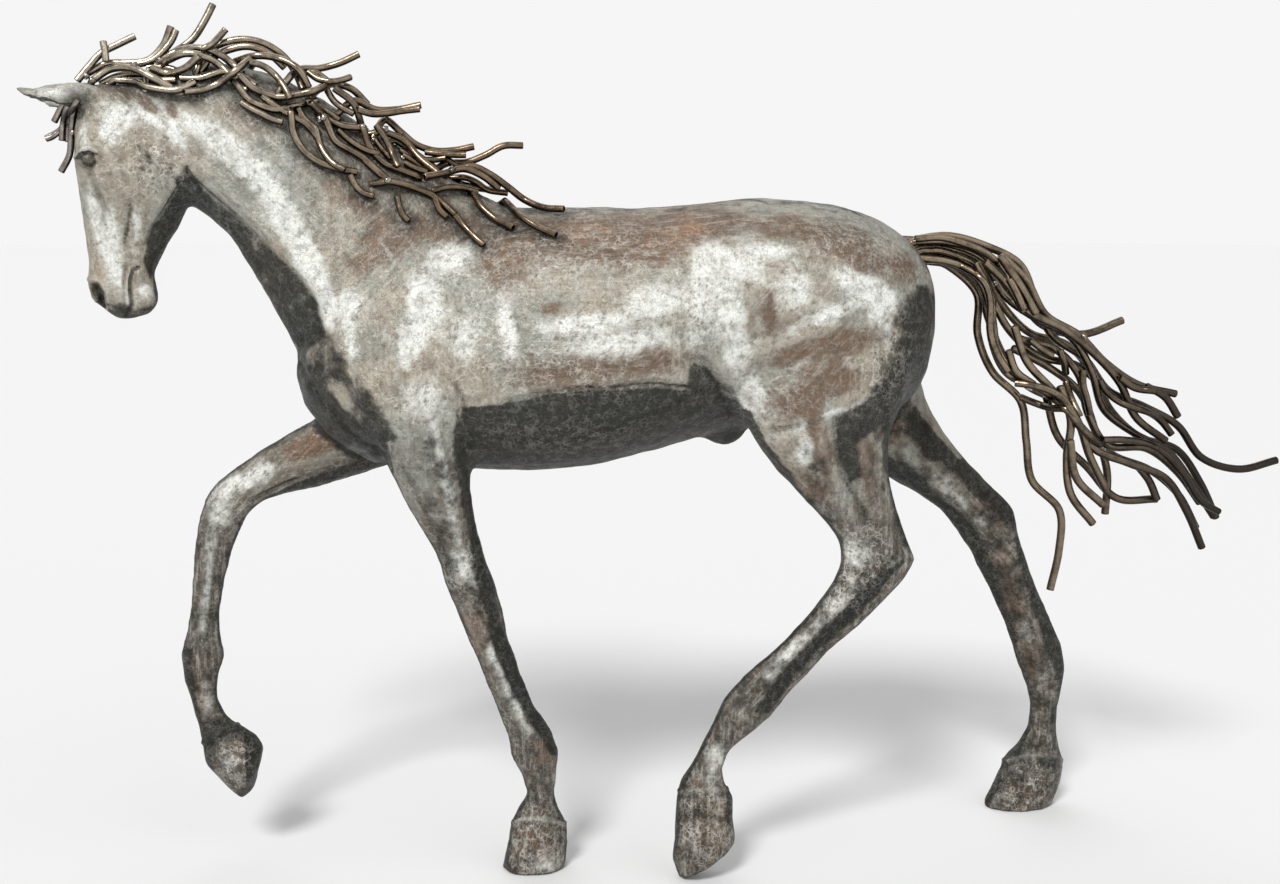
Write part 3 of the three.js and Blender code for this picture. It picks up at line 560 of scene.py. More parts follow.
crackle_patches = [
    (1.0, (590, 252), 110, 34, 0),
    (0.9, (500, 270), 40, 30, 0),
    (0.9, (378, 252), 40, 22, -40),
    (0.7, (450, 265), 30, 24, 0),
    (0.8, (580, 370), 90, 30, 0),
    (0.6, (480, 330), 40, 50, 0),
    (1.0, (420, 402), 34, 26, 0),
    (0.8, (850, 250), 60, 26, 15),
    (0.9, (890, 360), 26, 50, 15),
    (0.8, (700, 300), 30, 60, 0),
    (0.5, (560, 435), 100, 20, 0),
    (1.0, (860, 560), 26, 34, 0),
    (1.0, (845, 595), 24, 14, -45),
    (0.8, (466, 570), 16, 22, 0),
    (0.7, (225, 505), 24, 22, 0),
    (0.8, (235, 760), 22, 26, 0),
    (0.5, (215, 240), 20, 40, 30),
    (0.6, (240, 120), 60, 12, 28),
    (1.0, (158, 165), 34, 38, 0),
    (0.6, (115, 235), 26, 40, 0),
    (0.5, (780, 400), 60, 30, -10),
    (0.8, (535, 845), 36, 34, 0),
    (0.8, (705, 820), 34, 44, 0),
    (0.8, (1030, 790), 34, 30, 0),
]

# Painted shade, dark green-grey, fills the undersides together with the dark wax there, and stops
# at the edges of the forms. Each stretch has its strength, how softly it ends, and its outline on the
# sheet.
shade_stretches = [
    (0.97, 5, [(462, 408), (510, 403), (545, 395), (581, 391), (618, 390), (655, 387), (704, 393),
               (732, 412), (752, 440), (700, 462), (640, 482), (540, 492), (465, 490)]),
    (0.75, 5, [(190, 182), (203, 190), (238, 217), (271, 249), (298, 275), (318, 303), (322, 335),
               (300, 352), (278, 330), (255, 285), (230, 245), (202, 214), (188, 208)]),
    (0.82, 4, [(187, 167), (180, 187), (166, 207), (152, 227), (146, 246), (142, 262), (150, 280),
               (160, 268), (178, 240), (194, 210), (202, 188)]),
    (0.85, 8, [(298, 352), (312, 374), (330, 392), (350, 412), (386, 440), (388, 470), (350, 462),
               (312, 428), (294, 392), (290, 360)]),
    (0.62, 10, [(302, 333), (318, 320), (336, 336), (350, 362), (340, 392), (318, 386), (303, 362)]),
    (0.72, 8, [(338, 372), (360, 376), (384, 408), (398, 442), (380, 442), (354, 412)]),
    (0.95, 7, [(690, 362), (706, 366), (718, 380), (728, 402), (740, 428), (728, 430), (712, 408),
               (700, 393), (686, 386)]),
    (0.80, 15, [(905, 300), (922, 286), (940, 296), (936, 360), (920, 402), (895, 432), (878, 424),
               (880, 392), (900, 360)]),
    (0.70, 3, [(884, 394), (858, 405), (834, 418), (838, 447), (850, 482), (861, 474), (857, 444),
               (880, 422)]),
    (0.72, 4, [(898, 430), (882, 440), (889, 480), (896, 520), (905, 545), (925, 565), (922, 530),
               (906, 480)]),
    (0.90, 4, [(884, 408), (915, 392), (928, 408), (902, 440), (893, 474), (884, 470)]),
    (0.85, 4, [(890, 462), (912, 470), (938, 496), (966, 520), (984, 548), (1000, 590), (1016, 640),
               (1010, 650), (990, 610), (965, 560), (936, 520), (900, 494)]),
    (0.60, 4, [(925, 398), (948, 430), (982, 468), (1014, 498), (1024, 530), (1006, 524), (984, 502),
               (955, 474), (922, 440)]),
    (0.75, 4, [(738, 405), (752, 440), (778, 478), (798, 503), (812, 508), (792, 474), (766, 440),
               (752, 410)]),
    (0.80, 3, [(384, 458), (330, 468), (288, 486), (252, 504), (240, 520), (228, 560), (218, 620),
               (234, 632), (240, 560), (254, 520), (290, 500), (384, 482)]),
    (0.70, 3, [(384, 440), (390, 470), (408, 506), (428, 540), (446, 578), (438, 588), (418, 548),
               (392, 500), (376, 465)]),
    (0.72, 3, [(456, 402), (466, 440), (471, 490), (480, 530), (486, 566), (496, 596), (500, 625),
               (516, 660), (536, 700), (558, 730), (566, 756), (552, 756), (538, 730), (512, 690),
               (496, 655), (486, 610), (474, 566), (463, 500), (454, 450)]),
    (0.80, 3, [(905, 560), (884, 585), (850, 622), (812, 655), (790, 682), (770, 712), (756, 712),
               (780, 676), (812, 640), (850, 604), (880, 574)]),
    (0.75, 3, [(1024, 520), (1038, 560), (1052, 600), (1070, 640), (1072, 668), (1062, 700),
               (1052, 660), (1038, 620), (1024, 575), (1014, 540)]),
    (0.85, 2, [(726, 783), (740, 784), (740, 828), (728, 826)]),
    (0.95, 1.5, [(247, 734), (270, 730), (272, 806), (246, 806)]),
    (0.60, 2, [(226, 724), (246, 726), (262, 742), (252, 748), (236, 738)]),
    (0.60, 3, [(182, 650), (192, 648), (194, 690), (206, 740), (214, 770), (200, 764), (184, 700)]),
    (0.70, 2, [(78, 157), (84, 152), (94, 152), (97, 160), (92, 168), (84, 166)]),
    (0.38, 9, [(92, 172), (108, 166), (122, 176), (116, 192), (104, 200), (97, 190)]),
    (0.75, 4, [(88, 282), (98, 282), (106, 292), (108, 308), (100, 310), (92, 298)]),
    (0.34, 12, [(138, 140), (168, 138), (184, 156), (176, 186), (156, 204), (136, 196), (130, 166)]),
    (0.60, 3, [(128, 198), (134, 200), (130, 232), (126, 246), (121, 244), (125, 222)]),
    (0.72, 5, [(108, 304), (120, 300), (136, 308), (152, 304), (158, 312), (122, 322)]),
    (0.50, 8, [(900, 400), (950, 430), (1015, 498), (1040, 560), (1072, 650), (1062, 740),
               (1064, 812), (985, 812), (1008, 740), (1000, 640), (960, 560), (890, 480)]),
    (0.35, 8, [(505, 812), (568, 812), (568, 878), (498, 878)]),
    (0.45, 12, [(392, 440), (466, 430), (492, 560), (500, 610), (452, 600), (420, 520)]),
    (0.38, 8, [(452, 600), (500, 610), (560, 740), (556, 800), (524, 790), (512, 730)]),
    (0.42, 14, [(790, 440), (880, 430), (912, 560), (862, 606), (826, 560), (806, 500)]),
    (0.38, 8, [(826, 580), (890, 590), (770, 712), (736, 770), (690, 770), (712, 700)]),
    (0.38, 8, [(186, 520), (244, 520), (222, 640), (240, 724), (200, 760), (180, 650)]),
    (0.45, 20, [(868, 320), (930, 280), (936, 380), (900, 440), (862, 420)]),
    (0.40, 8, [(672, 780), (738, 780), (738, 875), (668, 875)]),
    (0.40, 8, [(200, 722), (268, 722), (268, 808), (200, 790)]),
    (0.55, 3, [(698, 424), (722, 414), (744, 432), (736, 448), (712, 446)]),
]

# The brush followed the muscles and ran along the legs: its direction on the sheet, in degrees.
brush_runs = [
    (82, (110, 240)), (60, (140, 150)), (10, (50, 92)), (45, (240, 165)), (58, (290, 240)),
    (75, (325, 310)), (138, (372, 270)), (100, (425, 310)), (120, (440, 250)), (165, (560, 330)),
    (0, (640, 250)), (0, (560, 235)), (172, (600, 430)), (95, (710, 300)), (155, (800, 340)),
    (150, (850, 290)), (10, (800, 225)), (60, (760, 400)), (62, (800, 450)), (75, (850, 470)),
    (82, (888, 480)), (100, (860, 560)), (139, (790, 650)), (98, (705, 770)), (95, (705, 830)),
    (78, (425, 440)), (68, (450, 520)), (68, (475, 600)), (68, (510, 690)), (88, (540, 770)),
    (95, (535, 840)), (158, (310, 455)), (130, (230, 500)), (95, (212, 570)), (90, (200, 650)),
    (70, (212, 720)), (55, (235, 770)), (45, (930, 470)), (60, (985, 530)), (68, (1020, 600)),
    (80, (1045, 670)), (92, (1045, 740)), (102, (1025, 790)), (52, (340, 410)), (95, (900, 370)),
]

mesh = body.data
points = vertex_values(mesh, "co")
normals = vertex_values(mesh, "normal")
shown, on_leg = drawn_side(points)
places = sheet_places(shown)


def patch_strength(patches):
    bare = np.ones(len(places))
    for strength, *form in patches:
        bare *= 1 - strength * form_share(places, *form)
    return 1 - bare


def inside_outline(outline):
    inside = np.zeros(len(places), bool)
    across, down = places.T
    for (u, v), (next_u, next_v) in zip(outline, outline[1:] + outline[:1]):
        crosses = (v > down) != (next_v > down)
        meets = u + (next_u - u) * (down - v) / ((next_v - v) or 1e-9)
        inside ^= crosses & (across < meets)
    return inside


def stretch_strength(stretches):
    bare = np.ones(len(places))
    for strength, softness, outline in stretches:
        distance = distance_to_line(places, outline + outline[:1])
        depth = np.where(inside_outline(outline), distance, -distance)
        bare *= 1 - strength * smoothstep(-softness, softness, depth)
    return 1 - bare


def brush_direction(place_list):
    """The brush's direction at each place, as the doubled angle's cosine and sine."""
    doubled = np.zeros((len(place_list), 2))
    for turn, middle in brush_runs:
        nearness = 1 / (np.sum((place_list - np.array(middle, float)) ** 2, axis=1) + 60.0) ** 1.6
        angle = math.radians(2 * turn)
        doubled += nearness[:, None] * (math.cos(angle), math.sin(angle))
    return doubled / np.linalg.norm(doubled, axis=1, keepdims=True)


def paint(mesh, name, values):
    attribute = mesh.attributes.new(name, "FLOAT", "POINT")
    attribute.data.foreach_set("value", values.astype(np.float32))


sideways = np.abs(normals[:, 1])
undersides = smoothstep(0.3, 0.85, -normals[:, 2])
# Creases and ridges for the paint: painted shade in the creases, painted highlight along the ridges
# and round the elbow.
crease = np.zeros(len(points))
ridge = np.zeros(len(points))
for rise, half_width, line in worked_lines:
    share = np.exp(-((distance_to_line(places, line) / (half_width * 1.1)) ** 2))
    share *= min(1.0, abs(rise) / 6) / max(1.0, half_width / 2.5)
    if rise < 0:
        crease = np.maximum(crease, share)
    else:
        ridge = np.maximum(ridge, share)
elbow = (424, 400)
ring_radius = 15
ring_width = 3.5
from_elbow = np.hypot(places[:, 0] - elbow[0], (places[:, 1] - elbow[1]) * 0.9)
ridge = np.maximum(ridge, np.exp(-(((from_elbow - ring_radius) / ring_width) ** 2)))

# Painted shade also goes on what faces down and on what turns away from either side, and is
# lighter along the back and down the front of the face.
face_start = -1.15
muzzle_height = 1.2
shade = np.maximum(stretch_strength(shade_stretches), undersides * 0.85)
on_limb = 1 - smoothstep(0.80, 1.08, points[:, 2])
raised_limb = (1 - smoothstep(-0.78, -0.66, points[:, 0])) * (points[:, 2] < 1.13)
limb_share = np.maximum(on_limb, raised_limb * 0.7)
open_above = smoothstep(0.15, 0.6, normals[:, 2]) * (1 - limb_share)
on_face = (points[:, 0] < face_start) & (points[:, 2] > muzzle_height)
facing_ahead = on_face * smoothstep(0.0, 0.5, -normals[:, 0])
edge_shade = 1 - smoothstep(0.1, 0.62 + 0.30 * limb_share, sideways)
shade = np.maximum(shade, edge_shade * (0.90 - 0.42 * np.maximum(open_above, facing_ahead)))
paintings = {
    "chalk": patch_strength(chalk_patches),
    "brown": patch_strength(brown_patches),
    "rust": patch_strength(rust_patches),
    "crackled": patch_strength(crackle_patches),
    "shade": shade,
    "crease": crease,
    "ridge": ridge,
    "limb": limb_share,
}
for name, values in paintings.items():
    paint(mesh, name, values)
doubled = brush_direction(places)
brush_turns = (0, 45, 90, 135)
for turn in brush_turns:
    angle = math.radians(2 * turn)
    agreement = doubled @ (math.cos(angle), math.sin(angle))
    paint(mesh, f"brushed_{turn}", np.maximum(agreement, 0) ** 2)


class Tree:
    """Adds nodes to a material or a group, and links named sockets to them."""

    def __init__(self, owner):
        self.nodes = owner.nodes
        self.links = owner.links

    def add(self, kind, inputs=None, **settings):
        node = self.nodes.new(kind)
        for setting, value in settings.items():
            setattr(node, setting, value)
        for name, value in (inputs or {}).items():
            self.feed(node.inputs[name], value)
        return node

    def feed(self, socket, value):
        if isinstance(value, bpy.types.NodeSocket):
            self.links.new(value, socket)
        else:
            socket.default_value = value

    def math(self, operation, *values):
        node = self.add("ShaderNodeMath", operation=operation)
        for socket, value in zip(node.inputs, values):
            self.feed(socket, value)
        return node.outputs[0]

    def times(self, first, second):
        return self.math("MULTIPLY", first, second)

    def mix(self, share, first, second):
        node = self.add("ShaderNodeMix", data_type="RGBA")
        self.feed(node.inputs["Factor"], share)
        self.feed(node.inputs["A"], first)
        self.feed(node.inputs["B"], second)
        return node.outputs["Result"]

    def ramp(self, value, low, high, start=0.0, end=1.0):
        node = self.add(
            "ShaderNodeMapRange",
            {"Value": value, "From Min": low, "From Max": high, "To Min": start, "To Max": end},
            interpolation_type="SMOOTHSTEP",
        )
        return node.outputs["Result"]

    def between(self, mask, start, end):
        """A value that goes from `start` to `end` as the mask goes from 0 to 1."""
        return self.ramp(mask, 0.0, 1.0, start, end)

    def noise(self, vector, scale, detail=4.0, roughness=0.55):
        node = self.add(
            "ShaderNodeTexNoise",
            {"Vector": vector, "Scale": scale, "Detail": detail, "Roughness": roughness},
        )
        return node.outputs["Fac"]

    def painted(self, name):
        return self.add("ShaderNodeAttribute", attribute_name=name).outputs["Fac"]

    def placed(self, group, output=0, **inputs):
        node = self.add("ShaderNodeGroup", {"Vector": self.where}, node_tree=group)
        for name, value in inputs.items():
            self.feed(node.inputs[name.replace("_", " ")], value)
        return node.outputs[output]


def new_material(name):
    """A material with no nodes but the piece's own coordinates, and the tree that adds more."""
    material = bpy.data.materials.new(name)
    material.use_nodes = True
    material.node_tree.nodes.clear()
    tree = Tree(material.node_tree)
    tree.where = tree.add("ShaderNodeTexCoord").outputs["Object"]
    return material, tree


def new_group(name, inputs, outputs):
    group = bpy.data.node_groups.new(name, "ShaderNodeTree")
    for socket_name, kind, value in inputs:
        socket = group.interface.new_socket(socket_name, in_out="INPUT", socket_type=kind)
        if value is not None:
            socket.default_value = value
    for socket_name, kind in outputs:
        group.interface.new_socket(socket_name, in_out="OUTPUT", socket_type=kind)
    return group


# Crackle: a wandering net of thin broken lines around small dark pits, where the wax dried over
# the hammered sheet.
crackle = new_group(
    "crackle",
    [
        ("Vector", "NodeSocketVector", None),
        ("Cells per metre", "NodeSocketFloat", 38.0),
        ("Line width", "NodeSocketFloat", 0.08),
        ("Wander", "NodeSocketFloat", 0.012),
    ],
    [("Lines", "NodeSocketFloat"), ("Pits", "NodeSocketFloat")],
)
tree = Tree(crackle)
given = tree.add("NodeGroupInput").outputs
swirl = tree.add("ShaderNodeTexNoise", {"Vector": given["Vector"], "Scale": 45.0, "Detail": 3.0})
centred = tree.add("ShaderNodeVectorMath", operation="SUBTRACT")
tree.feed(centred.inputs[0], swirl.outputs["Color"])
centred.inputs[1].default_value = (0.5, 0.5, 0.5)
bent = tree.add("ShaderNodeVectorMath", operation="SCALE")
tree.feed(bent.inputs[0], centred.outputs[0])
tree.feed(bent.inputs["Scale"], given["Wander"])
place = tree.add("ShaderNodeVectorMath", operation="ADD")
tree.feed(place.inputs[0], given["Vector"])
tree.feed(place.inputs[1], bent.outputs[0])
cells = tree.add(
    "ShaderNodeTexVoronoi",
    {"Vector": place.outputs[0], "Scale": given["Cells per metre"]},
    feature="DISTANCE_TO_EDGE",
)
line = tree.add(
    "ShaderNodeMapRange",
    {"Value": cells.outputs["Distance"], "From Min": 0.0, "From Max": given["Line width"],
     "To Min": 1.0, "To Max": 0.0},
)
gaps = tree.ramp(tree.noise(given["Vector"], 55.0, 3.0), 0.42, 0.58)
outputs = tree.add("NodeGroupOutput").inputs
tree.feed(outputs["Lines"], tree.times(line.outputs["Result"], gaps))
tree.feed(outputs["Pits"], tree.ramp(cells.outputs["Distance"], 0.16, 0.42))

# Brush strokes: long thin streaks that run one way and pinch out.
brush_strokes = new_group(
    "brush_strokes",
    [
        ("Vector", "NodeSocketVector", None),
        ("Along", "NodeSocketVector", (1.0, 0.0, 0.0)),
        ("Across", "NodeSocketVector", (0.0, 0.0, 1.0)),
        ("Strokes per metre", "NodeSocketFloat", 90.0),
    ],
    [("Strokes", "NodeSocketFloat")],
)
tree = Tree(brush_strokes)
given = tree.add("NodeGroupInput").outputs


def component(direction):
    node = tree.add("ShaderNodeVectorMath", operation="DOT_PRODUCT")
    tree.feed(node.inputs[0], given["Vector"])
    tree.feed(node.inputs[1], direction)
    return node.outputs["Value"]


drawn_out = tree.add(
    "ShaderNodeCombineXYZ",
    {
        "X": tree.times(component(given["Along"]), 0.14),
        "Y": tree.times(component((0.0, 1.0, 0.0)), 0.7),
        "Z": component(given["Across"]),
    },
)
strokes = tree.noise(drawn_out.outputs[0], given["Strokes per metre"], 6.0, 0.68)
tree.feed(tree.add("NodeGroupOutput").inputs["Strokes"], strokes)

# Cloudy: soft patches with ragged edges, as brushed wax and rust leave them.
cloudy = new_group(
    "cloudy",
    [
        ("Vector", "NodeSocketVector", None),
        ("Patches per metre", "NodeSocketFloat", 9.0),
        ("Amount", "NodeSocketFloat", 0.5),
        ("Softness", "NodeSocketFloat", 0.25),
    ],
    [("Mask", "NodeSocketFloat")],
)
tree = Tree(cloudy)
given = tree.add("NodeGroupInput").outputs
cloud = tree.noise(given["Vector"], given["Patches per metre"], 7.0, 0.66)
level = tree.math("ADD", cloud, tree.math("SUBTRACT", given["Amount"], 1.0))
mask = tree.add(
    "ShaderNodeMapRange",
    {"Value": level, "From Min": tree.times(given["Softness"], -1.0),
     "From Max": given["Softness"]},
    interpolation_type="SMOOTHSTEP",
)
tree.feed(tree.add("NodeGroupOutput").inputs["Mask"], mask.outputs["Result"])

# The patina's colours, from the bare metal up.
bare_steel = (0.340, 0.345, 0.300, 1)
warm_steel = (0.410, 0.365, 0.290, 1)
leg_steel = (0.078, 0.066, 0.051, 1)
chalk_white = (0.880, 0.900, 0.850, 1)
line_white = (0.860, 0.840, 0.760, 1)
umber = (0.168, 0.108, 0.070, 1)
rust_orange = (0.430, 0.215, 0.100, 1)
# green_black is also the colour of the painted shade, of the painted shadow under the bars and of the
# painted shade in the creases.
green_black = (0.015, 0.016, 0.013, 1)

patina, tree = new_material("brushed_patina")
where = tree.where


def clouds(value, rise, start, per_metre, softness=0.18):
    """A cloudy mask that thickens with a painted value."""
    amount = tree.math("MULTIPLY_ADD", value, rise, start)
    return tree.placed(cloudy, Patches_per_metre=per_metre, Amount=amount, Softness=softness)


def strokes_along(per_metre):
    """Brush strokes that follow the painted directions."""
    total = None
    for turn in brush_turns:
        angle = math.radians(turn)
        strokes = tree.placed(
            brush_strokes,
            Along=(math.cos(angle), 0.0, -math.sin(angle)),
            Across=(math.sin(angle), 0.0, math.cos(angle)),
            Strokes_per_metre=per_metre,
        )
        part = tree.times(strokes, tree.painted(f"brushed_{turn}"))
        total = part if total is None else tree.math("ADD", total, part)
    return total


chalk, brown, rust, crackled, shaded, creased, ridged, limb = map(tree.painted, paintings)
bar_shadow_share = tree.painted("bar_shadow")
broad_clouds = tree.noise(where, 5.0, 8.0, 0.62)
fine_clouds = tree.noise(where, 34.0, 6.0, 0.65)
mottling = tree.noise(where, 52.0, 9.0, 0.72)
specks = tree.noise(where, 190.0, 3.0, 0.6)
wrinkle_noise = tree.math("SUBTRACT", tree.noise(where, 46.0, 5.0, 0.6), 0.5)
wrinkle_height = tree.math("ABSOLUTE", wrinkle_noise)
wrinkles = tree.ramp(wrinkle_height, 0.0, 0.018, 1.0, 0.0)
fine_strokes = strokes_along(105.0)
pale_strokes = tree.times(tree.ramp(fine_strokes, 0.50, 0.64), tree.between(limb, 0.20, 0.30))
dark_strokes = tree.ramp(fine_strokes, 0.36, 0.50, 1.0, 0.0)
dark_strokes = tree.times(dark_strokes, tree.between(limb, 0.18, 0.36))

colour = tree.mix(tree.ramp(broad_clouds, 0.40, 0.60), bare_steel, warm_steel)
colour = tree.mix(tree.times(limb, 0.92), colour, leg_steel)
chalk_mask = clouds(chalk, 0.66, 0.26, 13.0, 0.20)
chalk_cover = tree.times(chalk_mask, tree.ramp(mottling, 0.32, 0.52, 0.62, 0.97))
colour = tree.mix(chalk_cover, colour, chalk_white)
brown_mask = clouds(brown, 0.82, 0.24, 16.0)
colour = tree.mix(tree.times(brown_mask, 0.90), colour, umber)
rust_mask = tree.times(rust, tree.ramp(fine_clouds, 0.36, 0.6))
colour = tree.mix(tree.times(rust_mask, 0.85), colour, rust_orange)
shade_mask = clouds(shaded, 0.78, 0.12, 20.0)
# Painted shadow on the skin close under the bars.
colour = tree.mix(tree.times(bar_shadow_share, 0.8), colour, green_black)
colour = tree.mix(tree.ramp(mottling, 0.34, 0.50, 0.42, 0.0), colour, green_black)
colour = tree.mix(tree.ramp(fine_clouds, 0.36, 0.54, 0.35, 0.0), colour, umber)
colour = tree.mix(dark_strokes, colour, green_black)
open_strokes = tree.times(pale_strokes, tree.between(shade_mask, 1.0, 0.35))
colour = tree.mix(open_strokes, colour, line_white)
# Painted shade in the creases and painted highlight along the ridges.
colour = tree.mix(tree.times(creased, 0.70), colour, green_black)
colour = tree.mix(tree.times(ridged, 0.24), colour, line_white)
wide_net = {"Cells_per_metre": 44.0, "Line_width": 0.085, "Wander": 0.030}
thin_net = {"Cells_per_metre": 88.0, "Line_width": 0.130, "Wander": 0.016}
thin_lines = tree.times(tree.placed(crackle, "Lines", **thin_net), 0.7)
net = tree.math("MAXIMUM", tree.placed(crackle, "Lines", **wide_net), thin_lines)
net = tree.math("MAXIMUM", net, tree.times(wrinkles, 0.85))
open_net = tree.times(net, tree.between(shade_mask, 1.0, 0.42))
pits = tree.times(tree.placed(crackle, "Pits", **thin_net), tree.between(crackled, 0.10, 0.62))
colour = tree.mix(pits, colour, umber)
# Painted shade, with the dark wax, over the undersides, hollows and turned-away edges.
colour = tree.mix(tree.times(shade_mask, 0.93), colour, green_black)
net_share = tree.times(open_net, tree.between(crackled, 0.24, 0.80))
net_share = tree.times(net_share, tree.between(brown_mask, 1.0, 0.62))
colour = tree.mix(net_share, colour, line_white)
colour = tree.mix(tree.ramp(specks, 0.60, 0.74, 0.0, 0.28), colour, green_black)

height_map = tree.math("MULTIPLY_ADD", net, 0.35, tree.math("ADD", fine_clouds, fine_strokes))
bump = tree.add("ShaderNodeBump", {"Height": height_map, "Strength": 0.8, "Distance": 0.004})
principled = tree.add(
    "ShaderNodeBsdfPrincipled",
    {
        "Base Color": colour,
        "Metallic": tree.between(chalk_mask, 0.40, 0.12),
        "Specular IOR Level": 0.3,
        "Roughness": tree.ramp(fine_clouds, 0.3, 0.7, 0.40, 0.62),
        "Normal": bump.outputs["Normal"],
    },
)
tree.add("ShaderNodeOutputMaterial", {"Surface": principled.outputs[0]})
mesh.materials.clear()
mesh.materials.append(patina)
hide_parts("horse_body")
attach(body, "root")

# Mane, forelock and tail
# Round steel bars, bent by hand into waves, cut square and drilled at the ends, welded to the
# crest, the forehead and the dock and to each other. Each is laid where the frame has it.
bar_sides = 12
bar_step = 0.007
bore_share = 0.52
bore_depth = 0.012
chamfer_share = 0.14
both_near = 0.030
root_reach = 0.040
root_depth = 0.006
bar_radius = {"forelock_rod": 0.0075, "mane_rod": 0.0085, "tail_rod": 0.0100}
skin = surface_of(body)


def ring_centres(node, radius):
    """The middles of a bar's rings, the root last: the end nearer the skin, or the forward one."""
    shape = bmesh.new()
    shape.from_mesh(node.data)
    bmesh.ops.remove_doubles(shape, verts=shape.verts[:], dist=1e-5)
    caps = [
        vertex
        for vertex in shape.verts
        if len(vertex.link_edges) == 6
        and all(face.normal.dot(vertex.link_faces[0].normal) > 0.9999 for face in vertex.link_faces)
    ]
    found = []
    for cap in caps:
        seen = {cap}
        layer = [cap]
        layers = []
        while layer:
            layers.append([vertex.co.copy() for vertex in layer])
            following = []
            for vertex in layer:
                for edge in vertex.link_edges:
                    other = edge.other_vert(vertex)
                    if other not in seen:
                        seen.add(other)
                        following.append(other)
            layer = following
        found.append(layers)
    shape.free()
    layers = max(found, key=lambda layers: sum(len(layer) == 6 for layer in layers))
    centres = []
    for layer in layers:
        if len(layer) < 5:
            continue
        middle = sum(layer, Vector()) / len(layer)
        nearest, outward = skin.find_nearest(middle)[:2]
        if len(layer) != 6 and (middle - nearest).dot(outward) < radius:
            middle = nearest + outward * radius
        centres.append(middle)
    gaps = [skin.find_nearest(end)[3] for end in (centres[0], centres[-1])]
    if max(gaps) < both_near:
        return centres if centres[-1].x <= centres[0].x else centres[::-1]
    return centres if gaps[1] <= gaps[0] else centres[::-1]


def smooth_line(knots, step):
    """Evenly spaced points on the smooth curve through the knots."""
    knots = [knots[0] * 2 - knots[1], *knots, knots[-1] * 2 - knots[-2]]
    line = []
    for before, start, end, after in zip(knots, knots[1:], knots[2:], knots[3:]):
        count = max(1, round((end - start).length / step))
        for index in range(count):
            share = index / count
            slope = (end - before) * share
            bend = (before * 2 - start * 5 + end * 4 - after) * share * share
            twist = (start * 3 - before - end * 3 + after) * share * share * share
            line.append(0.5 * (start * 2 + slope + bend + twist))
    return [*line, knots[-2]]


def to_the_skin(line):
    """The line, carried on from its last point until it meets the skin."""
    direction = (line[-1] - line[-2]).normalized()
    toward = (skin.find_nearest(line[-1])[0] - line[-1]).normalized()
    hit = skin.ray_cast(line[-1], (direction + toward).normalized(), root_reach)[0]
    if hit is None:
        return line
    return [*line, hit + (hit - line[-1]).normalized() * root_depth]


def bar_mesh(name, line, radius):
    """A round bar along a line, with a drilled end at each end."""
    ahead_of = [(b - a).normalized() for a, b in zip(line, line[1:])]
    directions = [ahead_of[0]]
    directions += [(a + b).normalized() for a, b in zip(ahead_of, ahead_of[1:])]
    directions.append(ahead_of[-1])
    across = directions[0].orthogonal().normalized()
    rings = []
    shape = bmesh.new()

    def add_ring(centre, direction, size):
        side = direction.cross(across)
        ring = []
        for index in range(bar_sides):
            angle = 2 * math.pi * index / bar_sides
            offset = across * math.cos(angle) + side * math.sin(angle)
            ring.append(shape.verts.new(centre + offset * size))
        rings.append(ring)

    first, last = directions[0], directions[-1]
    chamfer = radius * chamfer_share
    bore = radius * bore_share
    end_rings = [(bore_depth, bore), (0, bore), (0, radius - chamfer), (chamfer, radius)]
    for depth, size in end_rings:
        add_ring(line[0] + first * depth, first, size)
    for centre, direction, previous in zip(line[1:-1], directions[1:-1], directions):
        across = previous.rotation_difference(direction) @ across
        across = (across - direction * across.dot(direction)).normalized()
        add_ring(centre, direction, radius)
    across = directions[-2].rotation_difference(last) @ across
    for depth, size in reversed(end_rings):
        add_ring(line[-1] - last * depth, last, size)
    for one, next_one in zip(rings, rings[1:]):
        for index in range(bar_sides):
            after = (index + 1) % bar_sides
            shape.faces.new((one[index], one[after], next_one[after], next_one[index]))
    shape.faces.new(rings[0][::-1])
    shape.faces.new(rings[-1])
    bmesh.ops.recalc_face_normals(shape, faces=shape.faces[:])
    mesh = bpy.data.meshes.new(name)
    shape.to_mesh(mesh)
    shape.free()
    return mesh


def bar(name, line, radius):
    piece = bpy.data.objects.new(name, bar_mesh(name, line, radius))
    bpy.context.scene.collection.objects.link(piece)
    return piece


bar_scale = (0.045, 0.034, 0.026, 1)
# The colour of the painted shade on the bars.
bar_shade = (0.020, 0.015, 0.011, 1)
grain_brown = (0.030, 0.025, 0.020, 1)


def bar_steel(name, light, dark, start, end):
    """Bar steel that goes from light at `start` to dark at `end`, both along the horse."""
    steel, tree = new_material(name)
    along = tree.add("ShaderNodeSeparateXYZ", {"Vector": tree.where}).outputs["X"]
    colour = tree.mix(tree.ramp(along, start, end), light, dark)
    streaks = tree.placed(cloudy, Patches_per_metre=26.0, Amount=0.44, Softness=0.16)
    colour = tree.mix(tree.times(streaks, 0.75), colour, bar_scale)
    # Painted shade on the bars away from their tops and outer sides.
    colour = tree.mix(tree.ramp(tree.painted("lit_side"), 0.15, 0.85, 0.94, 0.0), colour, bar_shade)
    grain = tree.noise(tree.where, 320.0, 3.0, 0.6)
    colour = tree.mix(tree.ramp(grain, 0.55, 0.75, 0.0, 0.4), colour, grain_brown)
    scale = tree.noise(tree.where, 60.0, 5.0, 0.6)
    bump = tree.add("ShaderNodeBump", {"Height": scale, "Strength": 0.5, "Distance": 0.0015})
    principled = tree.add(
        "ShaderNodeBsdfPrincipled",
        {
            "Base Color": colour,
            "Metallic": 1.0,
            "Roughness": tree.ramp(scale, 0.3, 0.7, 0.20, 0.40),
            "Normal": bump.outputs["Normal"],
        },
    )
    tree.add("ShaderNodeOutputMaterial", {"Surface": principled.outputs[0]})
    return steel


